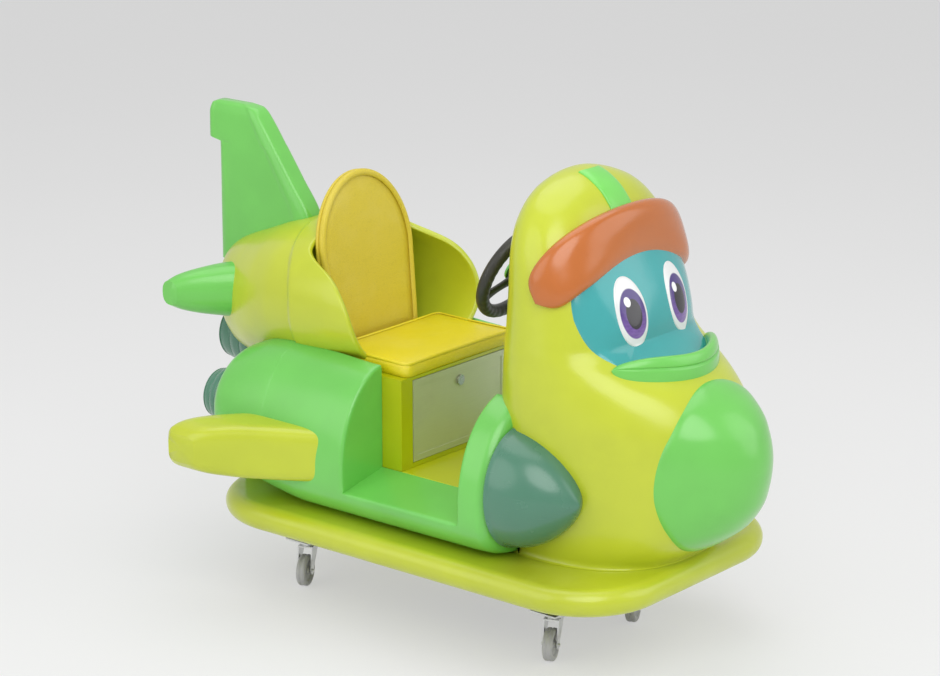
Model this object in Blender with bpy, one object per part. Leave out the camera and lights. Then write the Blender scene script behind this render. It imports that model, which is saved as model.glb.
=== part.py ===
"""Children's kiddie ride: a chubby toy aeroplane that rocks on a wheeled base.

Run it with: blender --background --python part.py
Metres, +Z up, nose towards -Y, origin on the floor under the middle of the ride.
Each mesh object left in the scene is one physical piece of the machine.
"""

import math

import bmesh
import bpy
from mathutils import Matrix, Vector

# ---------------------------------------------------------------- driving dimensions
ROCK_LIMIT = 3.0             # the ride rocks this far each way, degrees
GAP = 0.0004                 # clearance between two pieces that touch
RUNNING = 0.0003             # radial clearance of a shaft in its bore
SHELL_WALL = 0.005           # glass-fibre wall of the body mouldings
TRIM_WALL = 0.004            # glass-fibre wall of fins, wings and caps

# wheeled base
CASTER_X, CASTER_Y = 0.152, 0.366
WHEEL_RADIUS, WHEEL_WIDTH = 0.0375, 0.024
CASTER_HEIGHT = 0.112
CASTER_TRAIL = 0.026
CASTER_ANGLE = 203.0         # heading of every wheel from its swivel, degrees from +X
AXLE_RADIUS = 0.004
FORK_PLATE = 0.003
FORK_TOP = 0.0950            # top of the fork's crown
FRAME_SECTION = 0.040        # leg of the base's steel angles
ANGLE_WALL = 0.004
BASE_Y = -0.059              # centre of the base tray
BASE_HALF_LENGTH, BASE_HALF_WIDTH = 0.596, 0.366
BASE_CORNER = 0.194
COVER_BOTTOM, COVER_TOP = 0.187, 0.250

# rocking drive
ROCK_Z = 0.200
ROCK_SHAFT_RADIUS, ROCK_SHAFT_HALF = 0.0125, 0.172
BEARING_X = 0.150
EAR_X = 0.105
CRANK_Y, CRANK_Z = -0.220, 0.196
CRANK_THROW = -CRANK_Y * math.sin(math.radians(ROCK_LIMIT))
ROLLER_RADIUS = 0.011
PIN_RADIUS = 0.006
SLOT_SLACK = 0.0032          # room above and below the roller in its slot
RIDE_RAIL_X = 0.120

# cockpit
FLOOR_TOP, FLOOR_THICK = 0.358, 0.012
POD_INNER_X = 0.205
SEAT_FRONT_Y, SEAT_REAR_Y = 0.030, 0.330
SEAT_HALF_WIDTH = POD_INNER_X - 0.001
BOX_TOP = 0.572
CUSHION_HALF_WIDTH, CUSHION_THICK = 0.190, 0.036
BOX_WALL = 0.008
DOOR_HALF_WIDTH, DOOR_BOTTOM, DOOR_TOP = 0.164, 0.371, 0.563
DOOR_THICK = 0.004
LOCK_X, LOCK_Z = 0.0, 0.527
BACK_FOOT_Y = 0.264
BACK_TILT = 9.5              # recline of the seat back, degrees
BACK_HALF_WIDTH, BACK_HEIGHT, BACK_THICK = 0.157, 0.404, 0.028
BACK_ROUNDING = 0.008

# doorway between the rear and the front of each side pod
DOORWAY_REAR_Y, DOORWAY_FRONT_Y = 0.087, -0.245
SILL_SLOPE = 0.20            # fall of the sill towards its outer edge

# steel frame that carries the body, between the base tray and the floor
RIDE_FRAME_BOTTOM = COVER_TOP + GAP
RIDE_FRAME_TOP = FLOOR_TOP - FLOOR_THICK - GAP
BODY_BOTTOM = COVER_TOP + GAP

# steering
STEER_CENTRE = (0.0, -0.136, 0.812)
STEER_TILT = 25.0            # column above the horizon, degrees
STEER_RADIUS, STEER_TUBE = 0.108, 0.0140

# windscreen panel and eyes
SCREEN_THICK = 0.005
EYE_X, EYE_Z, EYE_HALF_WIDTH, EYE_HALF_HEIGHT = 0.082, 0.802, 0.044, 0.076

# start button on the dashboard
BUTTON_X, BUTTON_Z = 0.105, 0.690
BUTTON_RADIUS, BUTTON_TRAVEL = 0.012, 0.003

# Front moulding: height, rearmost y, foremost y, half width, y of the widest point, roundness
# ahead of it.
FRONT_STATIONS = (
    (BODY_BOTTOM, -0.202, -0.615, 0.222, -0.360, 2.30),
    (0.300, -0.201, -0.675, 0.231, -0.360, 2.20),
    (0.350, -0.201, -0.719, 0.236, -0.360, 2.08),
    (0.410, -0.200, -0.745, 0.243, -0.360, 2.00),
    (0.490, -0.200, -0.755, 0.249, -0.360, 1.97),
    (0.560, -0.200, -0.744, 0.252, -0.360, 1.97),
    (0.610, -0.202, -0.716, 0.253, -0.360, 1.97),
    (0.650, -0.203, -0.673, 0.252, -0.360, 2.00),
    (0.685, -0.204, -0.610, 0.249, -0.360, 2.10),
    (0.712, -0.205, -0.556, 0.247, -0.360, 2.20),
    (0.735, -0.207, -0.532, 0.244, -0.360, 2.28),
    (0.770, -0.208, -0.526, 0.240, -0.358, 2.30),
    (0.820, -0.210, -0.512, 0.235, -0.356, 2.30),
    (0.900, -0.211, -0.473, 0.226, -0.348, 2.30),
    (0.955, -0.216, -0.448, 0.210, -0.338, 2.30),
    (1.005, -0.231, -0.420, 0.179, -0.324, 2.30),
    (1.038, -0.247, -0.393, 0.141, -0.316, 2.30),
    (1.058, -0.264, -0.366, 0.098, -0.311, 2.30),
    (1.070, -0.281, -0.341, 0.056, -0.308, 2.30),
    (1.075, -0.295, -0.320, 0.022, -0.307, 2.30),
)
FRONT_BACK_POWER = 2.2

# Nose cap: centre height, half width, half height, rise of its middle above the moulding.
CAP_Z, CAP_HALF_WIDTH, CAP_HALF_HEIGHT, CAP_RISE = 0.468, 0.170, 0.190, 0.0510
LIP_Z = 0.684

# Tail moulding: y, half width, underside, top.
TAIL_STATIONS = (
    (0.155, 0.234, 0.540, 0.858),
    (0.240, 0.240, 0.530, 0.864),
    (0.330, 0.238, 0.515, 0.865),
    (0.420, 0.226, 0.500, 0.858),
    (0.500, 0.203, 0.485, 0.840),
    (0.570, 0.174, 0.478, 0.814),
    (0.630, 0.142, 0.485, 0.790),
    (0.685, 0.104, 0.512, 0.762),
    (0.722, 0.066, 0.560, 0.728),
    (0.742, 0.028, 0.610, 0.690),
)
TAIL_POWER = 2.2
# Upper edge of the cockpit collar: y, z.
COLLAR_CURVE = (
    (0.150, 0.640),
    (0.157, 0.680),
    (0.170, 0.715),
    (0.190, 0.745),
    (0.222, 0.777),
    (0.270, 0.800),
    (0.345, 0.812),
)

# Side pod: y, centre x, centre z, half width, height above and depth below the centre.
POD_STATIONS = (
    (-0.322, 0.185, 0.395, 0.136, 0.176, 0.128),
    (-0.316, 0.178, 0.390, 0.155, 0.198, 0.134),
    (-0.296, 0.172, 0.382, 0.172, 0.220, 0.132),
    (-0.245, 0.170, 0.380, 0.175, 0.226, 0.132),
    (0.087, 0.170, 0.380, 0.175, 0.226, 0.132),
    (0.230, 0.170, 0.380, 0.175, 0.232, 0.132),
    (0.330, 0.170, 0.385, 0.173, 0.228, 0.124),
    (0.405, 0.178, 0.396, 0.163, 0.206, 0.118),
    (0.460, 0.192, 0.414, 0.144, 0.168, 0.114),
    (0.492, 0.204, 0.430, 0.122, 0.134, 0.106),
    (0.508, 0.212, 0.438, 0.100, 0.104, 0.094),
)
POD_TOP_POWER, POD_BOTTOM_POWER = 2.0, 3.0


# ---------------------------------------------------------------- modelling helpers
def clear_scene():
    for obj in list(bpy.data.objects):
        bpy.data.objects.remove(obj)


def paint(name, colour, roughness, metallic=0.0):
    """A plain Principled material."""
    material = bpy.data.materials.new(name)
    material.use_nodes = True
    shader = material.node_tree.nodes["Principled BSDF"]
    shader.inputs["Base Color"].default_value = (*colour, 1.0)
    shader.inputs["Roughness"].default_value = roughness
    shader.inputs["Metallic"].default_value = metallic
    return material


def mesh_object(name, bm, material=None, smooth=35.0):
    """One object from a bmesh, with outward faces; no material makes it a cutter."""
    bmesh.ops.recalc_face_normals(bm, faces=bm.faces)
    mesh = bpy.data.meshes.new(name)
    bm.to_mesh(mesh)
    bm.free()
    obj = bpy.data.objects.new(name, mesh)
    bpy.context.scene.collection.objects.link(obj)
    if material is None:
        obj.hide_render = True
        obj.display_type = "WIRE"
    else:
        mesh.materials.append(material)
        mesh.shade_smooth()
        mesh.set_sharp_from_angle(angle=math.radians(smooth))
    return obj


def boolean(obj, other, operation="DIFFERENCE"):
    modifier = obj.modifiers.new(other.name, "BOOLEAN")
    modifier.operation = operation
    modifier.object = other
    modifier.solver = "EXACT"
    return obj


def bevel(obj, width, segments=2, angle=40.0):
    modifier = obj.modifiers.new("rounding", "BEVEL")
    modifier.width = width
    modifier.segments = segments
    modifier.limit_method = "ANGLE"
    modifier.angle_limit = math.radians(angle)
    return obj


def add_box(bm, low, high):
    low, high = Vector(low), Vector(high)
    made = bmesh.ops.create_cube(bm, size=1.0)
    for vert in made["verts"]:
        vert.co = Vector(
            (low[k] + high[k]) / 2 + vert.co[k] * (high[k] - low[k]) for k in range(3)
        )


def box(name, low, high, material=None):
    bm = bmesh.new()
    add_box(bm, low, high)
    return mesh_object(name, bm, material)


def united_boxes(name, pairs, material):
    """Boxes that overlap, joined into one body."""
    obj = box(name, *pairs[0], material)
    for number, pair in enumerate(pairs[1:]):
        boolean(obj, box(f"{name}_add{number}", *pair), "UNION")
    return obj


def turned(name, profile, place, material=None, segments=24):
    """A closed profile of (radius, height) points spun about local Z, then placed."""
    bm = bmesh.new()
    rings = []
    for radius, height in profile:
        if radius < 1e-6:
            rings.append([bm.verts.new(place @ Vector((0, 0, height)))])
            continue
        turns = [math.tau * k / segments for k in range(segments)]
        points = [Vector((radius * math.cos(t), radius * math.sin(t), height)) for t in turns]
        rings.append([bm.verts.new(place @ point) for point in points])
    closed = profile[0][0] > 1e-6 and profile[-1][0] > 1e-6
    pairs = list(zip(rings, rings[1:])) + ([(rings[-1], rings[0])] if closed else [])
    for first, second in pairs:
        for k in range(segments):
            corners = [first[k % len(first)], first[(k + 1) % len(first)]]
            corners += [second[(k + 1) % len(second)], second[k % len(second)]]
            bm.faces.new(list(dict.fromkeys(corners)))
    return mesh_object(name, bm, material)


def loft(name, rings, material=None, grow=0.0, smooth=35.0):
    """A closed solid through rings of equally many points, capped at both ends.

    grow moves every point outwards along its normal.
    """
    bm = bmesh.new()
    loops = [[bm.verts.new(point) for point in ring] for ring in rings]
    count = len(loops[0])
    for first, second in zip(loops, loops[1:]):
        for k in range(count):
            after = (k + 1) % count
            corners = (first[k], first[after], second[after], second[k])
            start = 1 if first[k].co.x + first[after].co.x > 0 else 0
            turn = corners[start:] + corners[:start]
            bm.faces.new((turn[0], turn[1], turn[2]))
            bm.faces.new((turn[0], turn[2], turn[3]))
    bm.faces.new(loops[0])
    bm.faces.new(loops[-1])
    bmesh.ops.recalc_face_normals(bm, faces=bm.faces)
    if grow:
        bm.normal_update()
        moves = [(vert, vert.normal.copy()) for vert in bm.verts]
        for vert, normal in moves:
            vert.co += normal * grow
    return mesh_object(name, bm, material, smooth)


def hollow(name, rings, inner_rings, material, smooth=35.0):
    """A lofted shell: the inner loft is longer at its open end, so it opens the shell."""
    obj = loft(name, rings, material, smooth=smooth)
    return boolean(obj, loft(f"{name}_inside", inner_rings))


def along(direction, origin):
    """Matrix that carries local Z onto a direction, at an origin."""
    turn = Vector(direction).to_track_quat("Z", "Y").to_matrix().to_4x4()
    return Matrix.Translation(Vector(origin)) @ turn


def oval(count, half_x, half_up, half_down, power_up, power_down):
    """Points of an oval: |x|^p + |y|^p = 1 scaled, its own half height and power each way."""
    points = []
    for k in range(count):
        angle = math.tau * (k + 0.5) / count
        cosine, sine = math.cos(angle), math.sin(angle)
        power = power_up if sine > 0 else power_down
        reach = half_up if sine > 0 else half_down
        scale = (abs(cosine) ** power + abs(sine) ** power) ** (-1 / power)
        points.append((half_x * cosine * scale, reach * sine * scale))
    return points


# ---------------------------------------------------------------- body outlines
FRONT_COUNT, TAIL_COUNT, POD_COUNT = 32, 26, 22


def front_ring(z, back, front, half_width, waist, power, inset=0.0):
    """Horizontal outline of the front moulding at one height."""
    shape = oval(
        FRONT_COUNT,
        half_width - inset,
        back - waist - inset,
        waist - front - inset,
        FRONT_BACK_POWER,
        power,
    )
    return [Vector((x, waist + y, z)) for x, y in shape]


def front_solid(name, grow):
    """The front moulding as a full solid, for trimming its neighbours."""
    return loft(name, [front_ring(*station) for station in FRONT_STATIONS], grow=grow)


def tail_ring(y, half_width, bottom, top, inset=0.0):
    middle = (bottom + top) / 2
    half = (top - bottom) / 2 - inset
    shape = oval(TAIL_COUNT, half_width - inset, half, half, TAIL_POWER, TAIL_POWER)
    return [Vector((x, y, middle + z)) for x, z in shape]


def tail_solid(name, grow):
    return loft(name, [tail_ring(*station) for station in TAIL_STATIONS], grow=grow)


def pod_ring(side, y, centre_x, centre_z, half_width, up, down, inset=0.0):
    shape = oval(
        POD_COUNT, half_width - inset, up - inset, down - inset, POD_TOP_POWER, POD_BOTTOM_POWER
    )
    return [Vector((side * (centre_x + x), y, centre_z + z)) for x, z in shape]


def pod_solid(name, side, grow):
    return loft(name, [pod_ring(side, *station) for station in POD_STATIONS], grow=grow)


def slab_ring(centre, half_chord, half_thick, power, axis, count=20):
    """Cross-section of a wing, stabiliser or fin: chord along y, thickness across."""
    x, y, z = centre
    shape = oval(count, half_chord, half_thick, half_thick, power, power)
    if axis == "X":
        return [Vector((x, y + a, z + b)) for a, b in shape]
    return [Vector((x + b, y + a, z)) for a, b in shape]


# ---------------------------------------------------------------- wheeled base
def angle_rail(axis, low, high, fixed, outward):
    """Two boxes of one steel angle: its flat leg and its upright leg."""
    bottom, top = CASTER_HEIGHT + GAP, CASTER_HEIGHT + GAP + FRAME_SECTION
    inner = fixed - outward * FRAME_SECTION
    across = sorted((fixed, inner))
    upright = sorted((fixed, fixed - outward * ANGLE_WALL))
    if axis == "Y":
        flat = ((across[0], low, bottom), (across[1], high, bottom + ANGLE_WALL))
        wall = ((upright[0], low, bottom), (upright[1], high, top))
    else:
        flat = ((low, across[0], bottom), (high, across[1], bottom + ANGLE_WALL))
        wall = ((low, upright[0], bottom), (high, upright[1], top))
    return [flat, wall]


RAIL_X = CASTER_X + 0.020
RAIL_REAR, RAIL_FRONT = 0.420, -0.420
MOTOR_PLATE_TOP = CASTER_HEIGHT + GAP + FRAME_SECTION + 0.004


def base_frame(steel):
    bottom = CASTER_HEIGHT + GAP
    top = bottom + FRAME_SECTION
    parts = []
    for side in (-1, 1):
        parts += angle_rail("Y", RAIL_FRONT, RAIL_REAR, side * RAIL_X, side)
    parts += angle_rail("X", -RAIL_X, RAIL_X, RAIL_FRONT, -1)
    parts += angle_rail("X", -RAIL_X, RAIL_X, RAIL_REAR, 1)
    plates = ((-0.300, -0.150), (-0.040, 0.040))
    for front, rear in plates:
        parts.append(((-RAIL_X, front, top - 0.001), (RAIL_X, rear, MOTOR_PLATE_TOP)))
    return united_boxes("base_frame", parts, steel)


def rounded_rectangle(half_x, half_y, corner, per_corner=7):
    """Outline with round corners, counter-clockwise from +x."""
    points = []
    for quarter in range(4):
        sign_x = 1 if quarter in (0, 3) else -1
        sign_y = 1 if quarter in (0, 1) else -1
        for k in range(per_corner):
            angle = math.tau * (quarter + k / (per_corner - 1)) / 4
            points.append(
                (
                    sign_x * (half_x - corner) + corner * math.cos(angle),
                    sign_y * (half_y - corner) + corner * math.sin(angle),
                )
            )
    return points


def cover_rings(inset, angles):
    """Rings up the half-round edge of the base cover."""
    rings = []
    edge = (COVER_TOP - COVER_BOTTOM) / 2
    for degrees in angles:
        angle = math.radians(degrees)
        draw_in = edge * (1 - math.cos(angle)) + inset * math.cos(angle)
        height = (COVER_TOP + COVER_BOTTOM) / 2 + (edge - inset) * math.sin(angle)
        outline = rounded_rectangle(
            BASE_HALF_WIDTH - draw_in, BASE_HALF_LENGTH - draw_in, BASE_CORNER - draw_in
        )
        rings.append([Vector((x, BASE_Y + y, height)) for x, y in outline])
    return rings


OPENING_X, OPENING_FRONT, OPENING_REAR = 0.122, -0.300, 0.080


def base_tray(paint_lime):
    angles = (-75, -40, -10, 20, 50, 90)
    inner = cover_rings(SHELL_WALL, angles)
    lowest = [Vector((p.x, p.y, COVER_BOTTOM - 0.02)) for p in inner[0]]
    obj = hollow("base_tray", cover_rings(0.0, angles), [lowest] + inner, paint_lime)
    low = (-OPENING_X, OPENING_FRONT, COVER_BOTTOM)
    high = (OPENING_X, OPENING_REAR, COVER_TOP + 0.02)
    return boolean(obj, box("base_opening", low, high))


def caster_place(x, y):
    return Matrix.Translation((x, y, 0)) @ Matrix.Rotation(math.radians(CASTER_ANGLE), 4, "Z")


def fork_outline():
    """Side view of a fork leg, from its crown down round the axle: (along, height)."""
    points = [(-0.020, FORK_TOP), (0.026, FORK_TOP)]
    for degrees in range(20, -201, -44):
        angle = math.radians(degrees)
        points.append(
            (CASTER_TRAIL + 0.010 * math.cos(angle), WHEEL_RADIUS + 0.010 * math.sin(angle))
        )
    return points


def caster(tag, x, y, steel, zinc, tread):
    """Top plate, swivelling fork with its axle bolt, wheel and brake pedal."""
    place = caster_place(x, y)
    plate_low = CASTER_HEIGHT - 0.004
    plate = box(f"caster_plate_{tag}", (-0.042, -0.035, plate_low), (0.042, 0.035, CASTER_HEIGHT), zinc)
    plate.matrix_world = Matrix.Translation((x, y, 0))

    leg_inner = WHEEL_WIDTH / 2 + 0.003
    crown = box(
        f"caster_fork_{tag}",
        (-0.020, -leg_inner - FORK_PLATE, FORK_TOP - FORK_PLATE),
        (0.026, leg_inner + FORK_PLATE, FORK_TOP),
        zinc,
    )
    crown.matrix_world = place
    for side in (-1, 1):
        bm = bmesh.new()
        near = side * leg_inner
        face = bm.faces.new([bm.verts.new((a, near, h)) for a, h in fork_outline()])
        made = bmesh.ops.extrude_face_region(bm, geom=[face])
        moved = [item for item in made["geom"] if isinstance(item, bmesh.types.BMVert)]
        bmesh.ops.translate(bm, verts=moved, vec=(0, side * FORK_PLATE, 0))
        leg = mesh_object(f"leg_{tag}_{side}", bm)
        leg.matrix_world = place
        boolean(crown, leg, "UNION")
    low, high = FORK_TOP - 0.001, plate_low - GAP
    hub = turned(f"hub_{tag}", [(0, low), (0.019, low), (0.019, high), (0, high)], place)
    boolean(crown, hub, "UNION")
    reach = leg_inner + FORK_PLATE + 0.003
    axle_place = place @ along((0, 1, 0), (CASTER_TRAIL, 0, WHEEL_RADIUS))
    axle = turned(
        f"axle_{tag}",
        [(0, -reach), (AXLE_RADIUS, -reach), (AXLE_RADIUS, reach), (0, reach)],
        axle_place,
        segments=12,
    )
    boolean(crown, axle, "UNION")

    half, bore = WHEEL_WIDTH / 2, AXLE_RADIUS + RUNNING
    rim = WHEEL_RADIUS
    profile = [
        (bore, -half - 0.002),
        (0.011, -half - 0.002),
        (rim - 0.008, -half + 0.003),
        (rim - 0.003, -half),
        (rim, -half + 0.005),
        (rim, half - 0.005),
        (rim - 0.003, half),
        (rim - 0.008, half - 0.003),
        (0.011, half + 0.002),
        (bore, half + 0.002),
    ]
    turned(f"caster_wheel_{tag}", profile, axle_place, tread, segments=20)

    pedal = united_boxes(
        f"caster_brake_{tag}",
        [
            ((-0.062, -0.013, FORK_TOP - 0.015), (-0.020 - GAP, 0.013, FORK_TOP - 0.012)),
            ((-0.032, -0.010, FORK_TOP - 0.015), (-0.020 - GAP, 0.010, FORK_TOP)),
        ],
        steel,
    )
    for part in [pedal] + [modifier.object for modifier in pedal.modifiers]:
        part.matrix_world = place


# ---------------------------------------------------------------- rocking drive
def drive(steel, grey, zinc):
    for tag, side in (("left", 1), ("right", -1)):
        x = side * BEARING_X
        block = box(
            f"bearing_block_{tag}",
            (x - 0.014, -0.032, MOTOR_PLATE_TOP + GAP),
            (x + 0.014, 0.032, ROCK_Z + 0.024),
            grey,
        )
        bore = ROCK_SHAFT_RADIUS + RUNNING
        hole = turned(
            f"bearing_bore_{tag}",
            [(0, -0.03), (bore, -0.03), (bore, 0.03), (0, 0.03)],
            along((1, 0, 0), (x, 0, ROCK_Z)),
        )
        boolean(block, hole)
    reach = ROCK_SHAFT_HALF
    radius = ROCK_SHAFT_RADIUS
    turned(
        "rock_shaft",
        [(0, -reach), (radius, -reach), (radius, reach), (0, reach)],
        along((1, 0, 0), (0, 0, ROCK_Z)),
        zinc,
    )

    gearbox_low = (0.034, CRANK_Y - 0.042, MOTOR_PLATE_TOP + GAP)
    gearbox = box("gearbox", gearbox_low, (0.104, CRANK_Y + 0.042, 0.228), grey)
    bevel(gearbox, 0.006)
    shaft = PIN_RADIUS + 0.003
    boolean(
        gearbox,
        turned(
            "gearbox_bore",
            [(0, 0.01), (shaft + RUNNING, 0.01), (shaft + RUNNING, 0.07), (0, 0.07)],
            along((1, 0, 0), (0, CRANK_Y, CRANK_Z)),
        ),
    )
    motor_end = CRANK_Y - 0.042 - GAP
    turned(
        "motor",
        [(0, 0), (0.030, 0), (0.030, 0.120), (0.024, 0.130), (0, 0.130)],
        along((0, -1, 0), (0.069, motor_end, MOTOR_PLATE_TOP + GAP + 0.030)),
        steel,
    )

    crank_place = along((1, 0, 0), (0, CRANK_Y, CRANK_Z))
    disc = turned(
        "crank_disc",
        [(0, 0.012), (0.028, 0.012), (0.028, 0.024), (shaft, 0.024), (shaft, 0.066), (0, 0.066)],
        crank_place,
        zinc,
    )
    pin_place = along((1, 0, 0), (0, CRANK_Y - CRANK_THROW, CRANK_Z))
    pin_profile = [(0, -0.012), (PIN_RADIUS, -0.012), (PIN_RADIUS, 0.018), (0, 0.018)]
    pin = turned("crank_pin", pin_profile, pin_place)
    boolean(disc, pin, "UNION")
    bore = PIN_RADIUS + RUNNING
    turned(
        "crank_roller",
        [(bore, -0.010), (ROLLER_RADIUS, -0.010), (ROLLER_RADIUS, 0.008), (bore, 0.008)],
        pin_place,
        grey,
    )


def ride_frame(steel):
    """Steel frame under the floor, with two ears on the rock shaft and the slotted yoke."""
    bottom, top = RIDE_FRAME_BOTTOM, RIDE_FRAME_TOP
    wall = 0.004
    parts = []
    for side in (-1, 1):
        outer, inner = side * (RIDE_RAIL_X + 0.015), side * (RIDE_RAIL_X - 0.015)
        across = sorted((outer, inner))
        upright = sorted((outer, outer - side * wall))
        parts.append(((across[0], -0.180, top - wall), (across[1], 0.338, top)))
        parts.append(((upright[0], -0.180, bottom), (upright[1], 0.338, top)))
        ear = sorted((side * EAR_X - 0.004, side * EAR_X + 0.004))
        parts.append(((ear[0], -0.030, ROCK_Z - 0.024), (ear[1], 0.030, top - 0.001)))
        nose_rail = sorted((side * 0.060, side * 0.090))
        parts.append(((nose_rail[0], -0.480, top - 0.010), (nose_rail[1], -0.150, top)))
    for front, rear in ((-0.180, -0.150), (0.000, 0.030), (0.150, 0.180), (0.308, 0.338)):
        low = -(RIDE_RAIL_X + 0.014)
        parts.append(((low, front, top - wall), (-low, rear, top)))
    parts.append(((-0.086, -0.235, top - wall), (0.086, -0.205, top)))
    half_y = CRANK_THROW + ROLLER_RADIUS + 0.004
    half_z = ROLLER_RADIUS + SLOT_SLACK
    low = (-0.009, CRANK_Y - half_y - 0.010, CRANK_Z - half_z - 0.008)
    high = (0.007, CRANK_Y + half_y + 0.010, top - 0.001)
    parts.append((low, high))
    obj = united_boxes("ride_frame", parts, steel)
    slot_low = (-0.020, CRANK_Y - half_y, CRANK_Z - half_z)
    slot_high = (0.020, CRANK_Y + half_y, CRANK_Z + half_z)
    boolean(obj, box("yoke_slot", slot_low, slot_high))
    bore = ROCK_SHAFT_RADIUS + RUNNING
    hole = turned(
        "ear_bore", [(0, -0.15), (bore, -0.15), (bore, 0.15), (0, 0.15)], along((1, 0, 0), (0, 0, ROCK_Z))
    )
    return boolean(obj, hole)


# ---------------------------------------------------------------- aeroplane body
def front_shell(lime):
    stations = [front_ring(*station, inset=SHELL_WALL) for station in FRONT_STATIONS[:-1]]
    lowest = [point - Vector((0, 0, 0.02)) for point in stations[0]]
    obj = hollow("front_shell", [front_ring(*s) for s in FRONT_STATIONS], [lowest] + stations, lime)
    passage = ((-0.096, -0.27, 0.20), (0.096, -0.15, RIDE_FRAME_TOP + 0.002))
    return boolean(obj, box("rail_passage", *passage))


def tail_shell(lime):
    """Tail with the cockpit's raised collar: its front is cut open round the seat."""
    inner = [tail_ring(*station, inset=SHELL_WALL) for station in TAIL_STATIONS[:-1]]
    foremost = [point - Vector((0, 0.02, 0)) for point in inner[0]]
    obj = hollow("tail_shell", [tail_ring(*s) for s in TAIL_STATIONS], [foremost] + inner, lime)
    bm = bmesh.new()
    profile = [(0.10, 0.640)] + list(COLLAR_CURVE) + [(0.345, 0.95), (0.10, 0.95)]
    face = bm.faces.new([bm.verts.new((-0.30, y, z)) for y, z in profile])
    made = bmesh.ops.extrude_face_region(bm, geom=[face])
    moved = [item for item in made["geom"] if isinstance(item, bmesh.types.BMVert)]
    bmesh.ops.translate(bm, verts=moved, vec=(0.60, 0, 0))
    boolean(obj, mesh_object("collar_cut", bm))
    half = POD_INNER_X + 0.002
    room = ((-half, 0.10, 0.30), (half, SEAT_REAR_Y + 0.012, BOX_TOP + 0.030))
    boolean(obj, box("seat_room", *room))
    half, rear = BACK_HALF_WIDTH + 0.006, BACK_THICK + 0.0015
    back_room = box("back_room", (-half, -0.20, -0.02), (half, rear, 0.50))
    back_room.matrix_world = back_place()
    boolean(obj, back_room)
    for side in (-1, 1):
        boolean(obj, pod_solid(f"pod_room_{side}", side, GAP))
    return obj


def back_place():
    """Foot of the seat back, reclined."""
    tilt = math.radians(BACK_TILT)
    corner = BACK_ROUNDING * (math.sin(tilt) + math.cos(tilt) - 1)
    foot = Vector((0, BACK_FOOT_Y, BOX_TOP + GAP + BACK_THICK * math.sin(tilt) - corner))
    return Matrix.Translation(foot) @ Matrix.Rotation(-tilt, 4, "X")


CORE_REAR_Y = SEAT_REAR_Y + 0.012


def doorway_cutter(name, side, front, rear, drop):
    """Room above the sloping sill, between the front and the rear of the doorway."""
    bm = bmesh.new()
    sill = FLOOR_TOP - GAP - drop
    outer_x = 0.50
    low = sill - SILL_SLOPE * (outer_x - POD_INNER_X)
    outline = ((0.02, sill), (POD_INNER_X, sill), (outer_x, low), (outer_x, 0.70), (0.02, 0.70))
    face = bm.faces.new([bm.verts.new((side * x, front, z)) for x, z in outline])
    made = bmesh.ops.extrude_face_region(bm, geom=[face])
    moved = [item for item in made["geom"] if isinstance(item, bmesh.types.BMVert)]
    bmesh.ops.translate(bm, verts=moved, vec=(0, rear - front, 0))
    return mesh_object(name, bm)


def side_pod(tag, side, green, front_cutter):
    """Nacelle along one flank, with the doorway cut down to its sill; open on its inner side."""
    outer = [pod_ring(side, *station) for station in POD_STATIONS]
    obj = loft(f"side_pod_{tag}", outer, green)
    wall = SHELL_WALL
    front, rear = DOORWAY_FRONT_Y, DOORWAY_REAR_Y
    boolean(obj, doorway_cutter(f"doorway_{tag}", side, front, rear, 0.0))
    inner_rings = [pod_ring(side, *station, inset=wall) for station in POD_STATIONS[1:-1]]
    inner = loft(f"pod_inside_{tag}", inner_rings)
    boolean(inner, doorway_cutter(f"doorway_wall_{tag}", side, front - wall, rear + wall, wall))
    boolean(inner, box(f"pod_keel_{tag}", (-0.5, -0.5, 0.10), (0.5, 0.7, BODY_BOTTOM + wall)))
    boolean(obj, inner)
    core = POD_INNER_X
    boolean(obj, box(f"pod_core_{tag}", (-core, -0.40, 0.20), (core, CORE_REAR_Y, 0.70)))
    boolean(obj, box(f"pod_middle_{tag}", (-0.012, 0.30, 0.20), (0.012, 0.60, 0.70)))
    boolean(obj, box(f"pod_below_{tag}", (-0.5, -0.5, 0.10), (0.5, 0.7, BODY_BOTTOM)))
    boolean(obj, front_cutter)
    return obj


def intake_cone(tag, side, teal, front_cutter):
    """Round-nosed spinner in the mouth of a pod."""
    root_y, tip_y = POD_STATIONS[0][0] - GAP, -0.508
    rings, inside = [], []
    steps = 7
    for step in range(steps + 1):
        share = step / steps
        size = max(0.05, (1 - share**1.9) ** 0.72)
        y = root_y + (tip_y - root_y) * share
        x, z = 0.232 + 0.018 * share, 0.410
        half = 0.116 * size
        half_z = 0.134 * size
        rings.append(pod_ring(side, y, x, z, half, half_z, half_z))
        if step < steps - 1:
            wall = TRIM_WALL
            inside.append(pod_ring(side, y, x, z, half - wall, half_z - wall, half_z - wall))
    opening = [point + Vector((0, 0.02, 0)) for point in inside[0]]
    obj = hollow(f"intake_cone_{tag}", rings, [opening] + inside, teal)
    return boolean(obj, front_cutter)


def ribbed_nozzle(name, place, teal, radius, length, trim=None):
    """Exhaust of three stepped rings, open at the rear."""
    step = length / 3
    wall = TRIM_WALL
    outer = []
    for number in range(3):
        size = radius * (1 - 0.13 * number)
        outer += [(size, step * number), (size * 0.94, step * (number + 1) - 0.001)]
    inner = [(radius * 0.62, length - 0.001), (radius * 0.62, length - step), (radius * 0.70, 0.0)]
    profile = outer + [(outer[-1][0] - wall, length)] + inner
    obj = turned(name, profile, place, teal, segments=24)
    if trim:
        boolean(obj, trim)
    return obj


WING_POWER = 4.6


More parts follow.
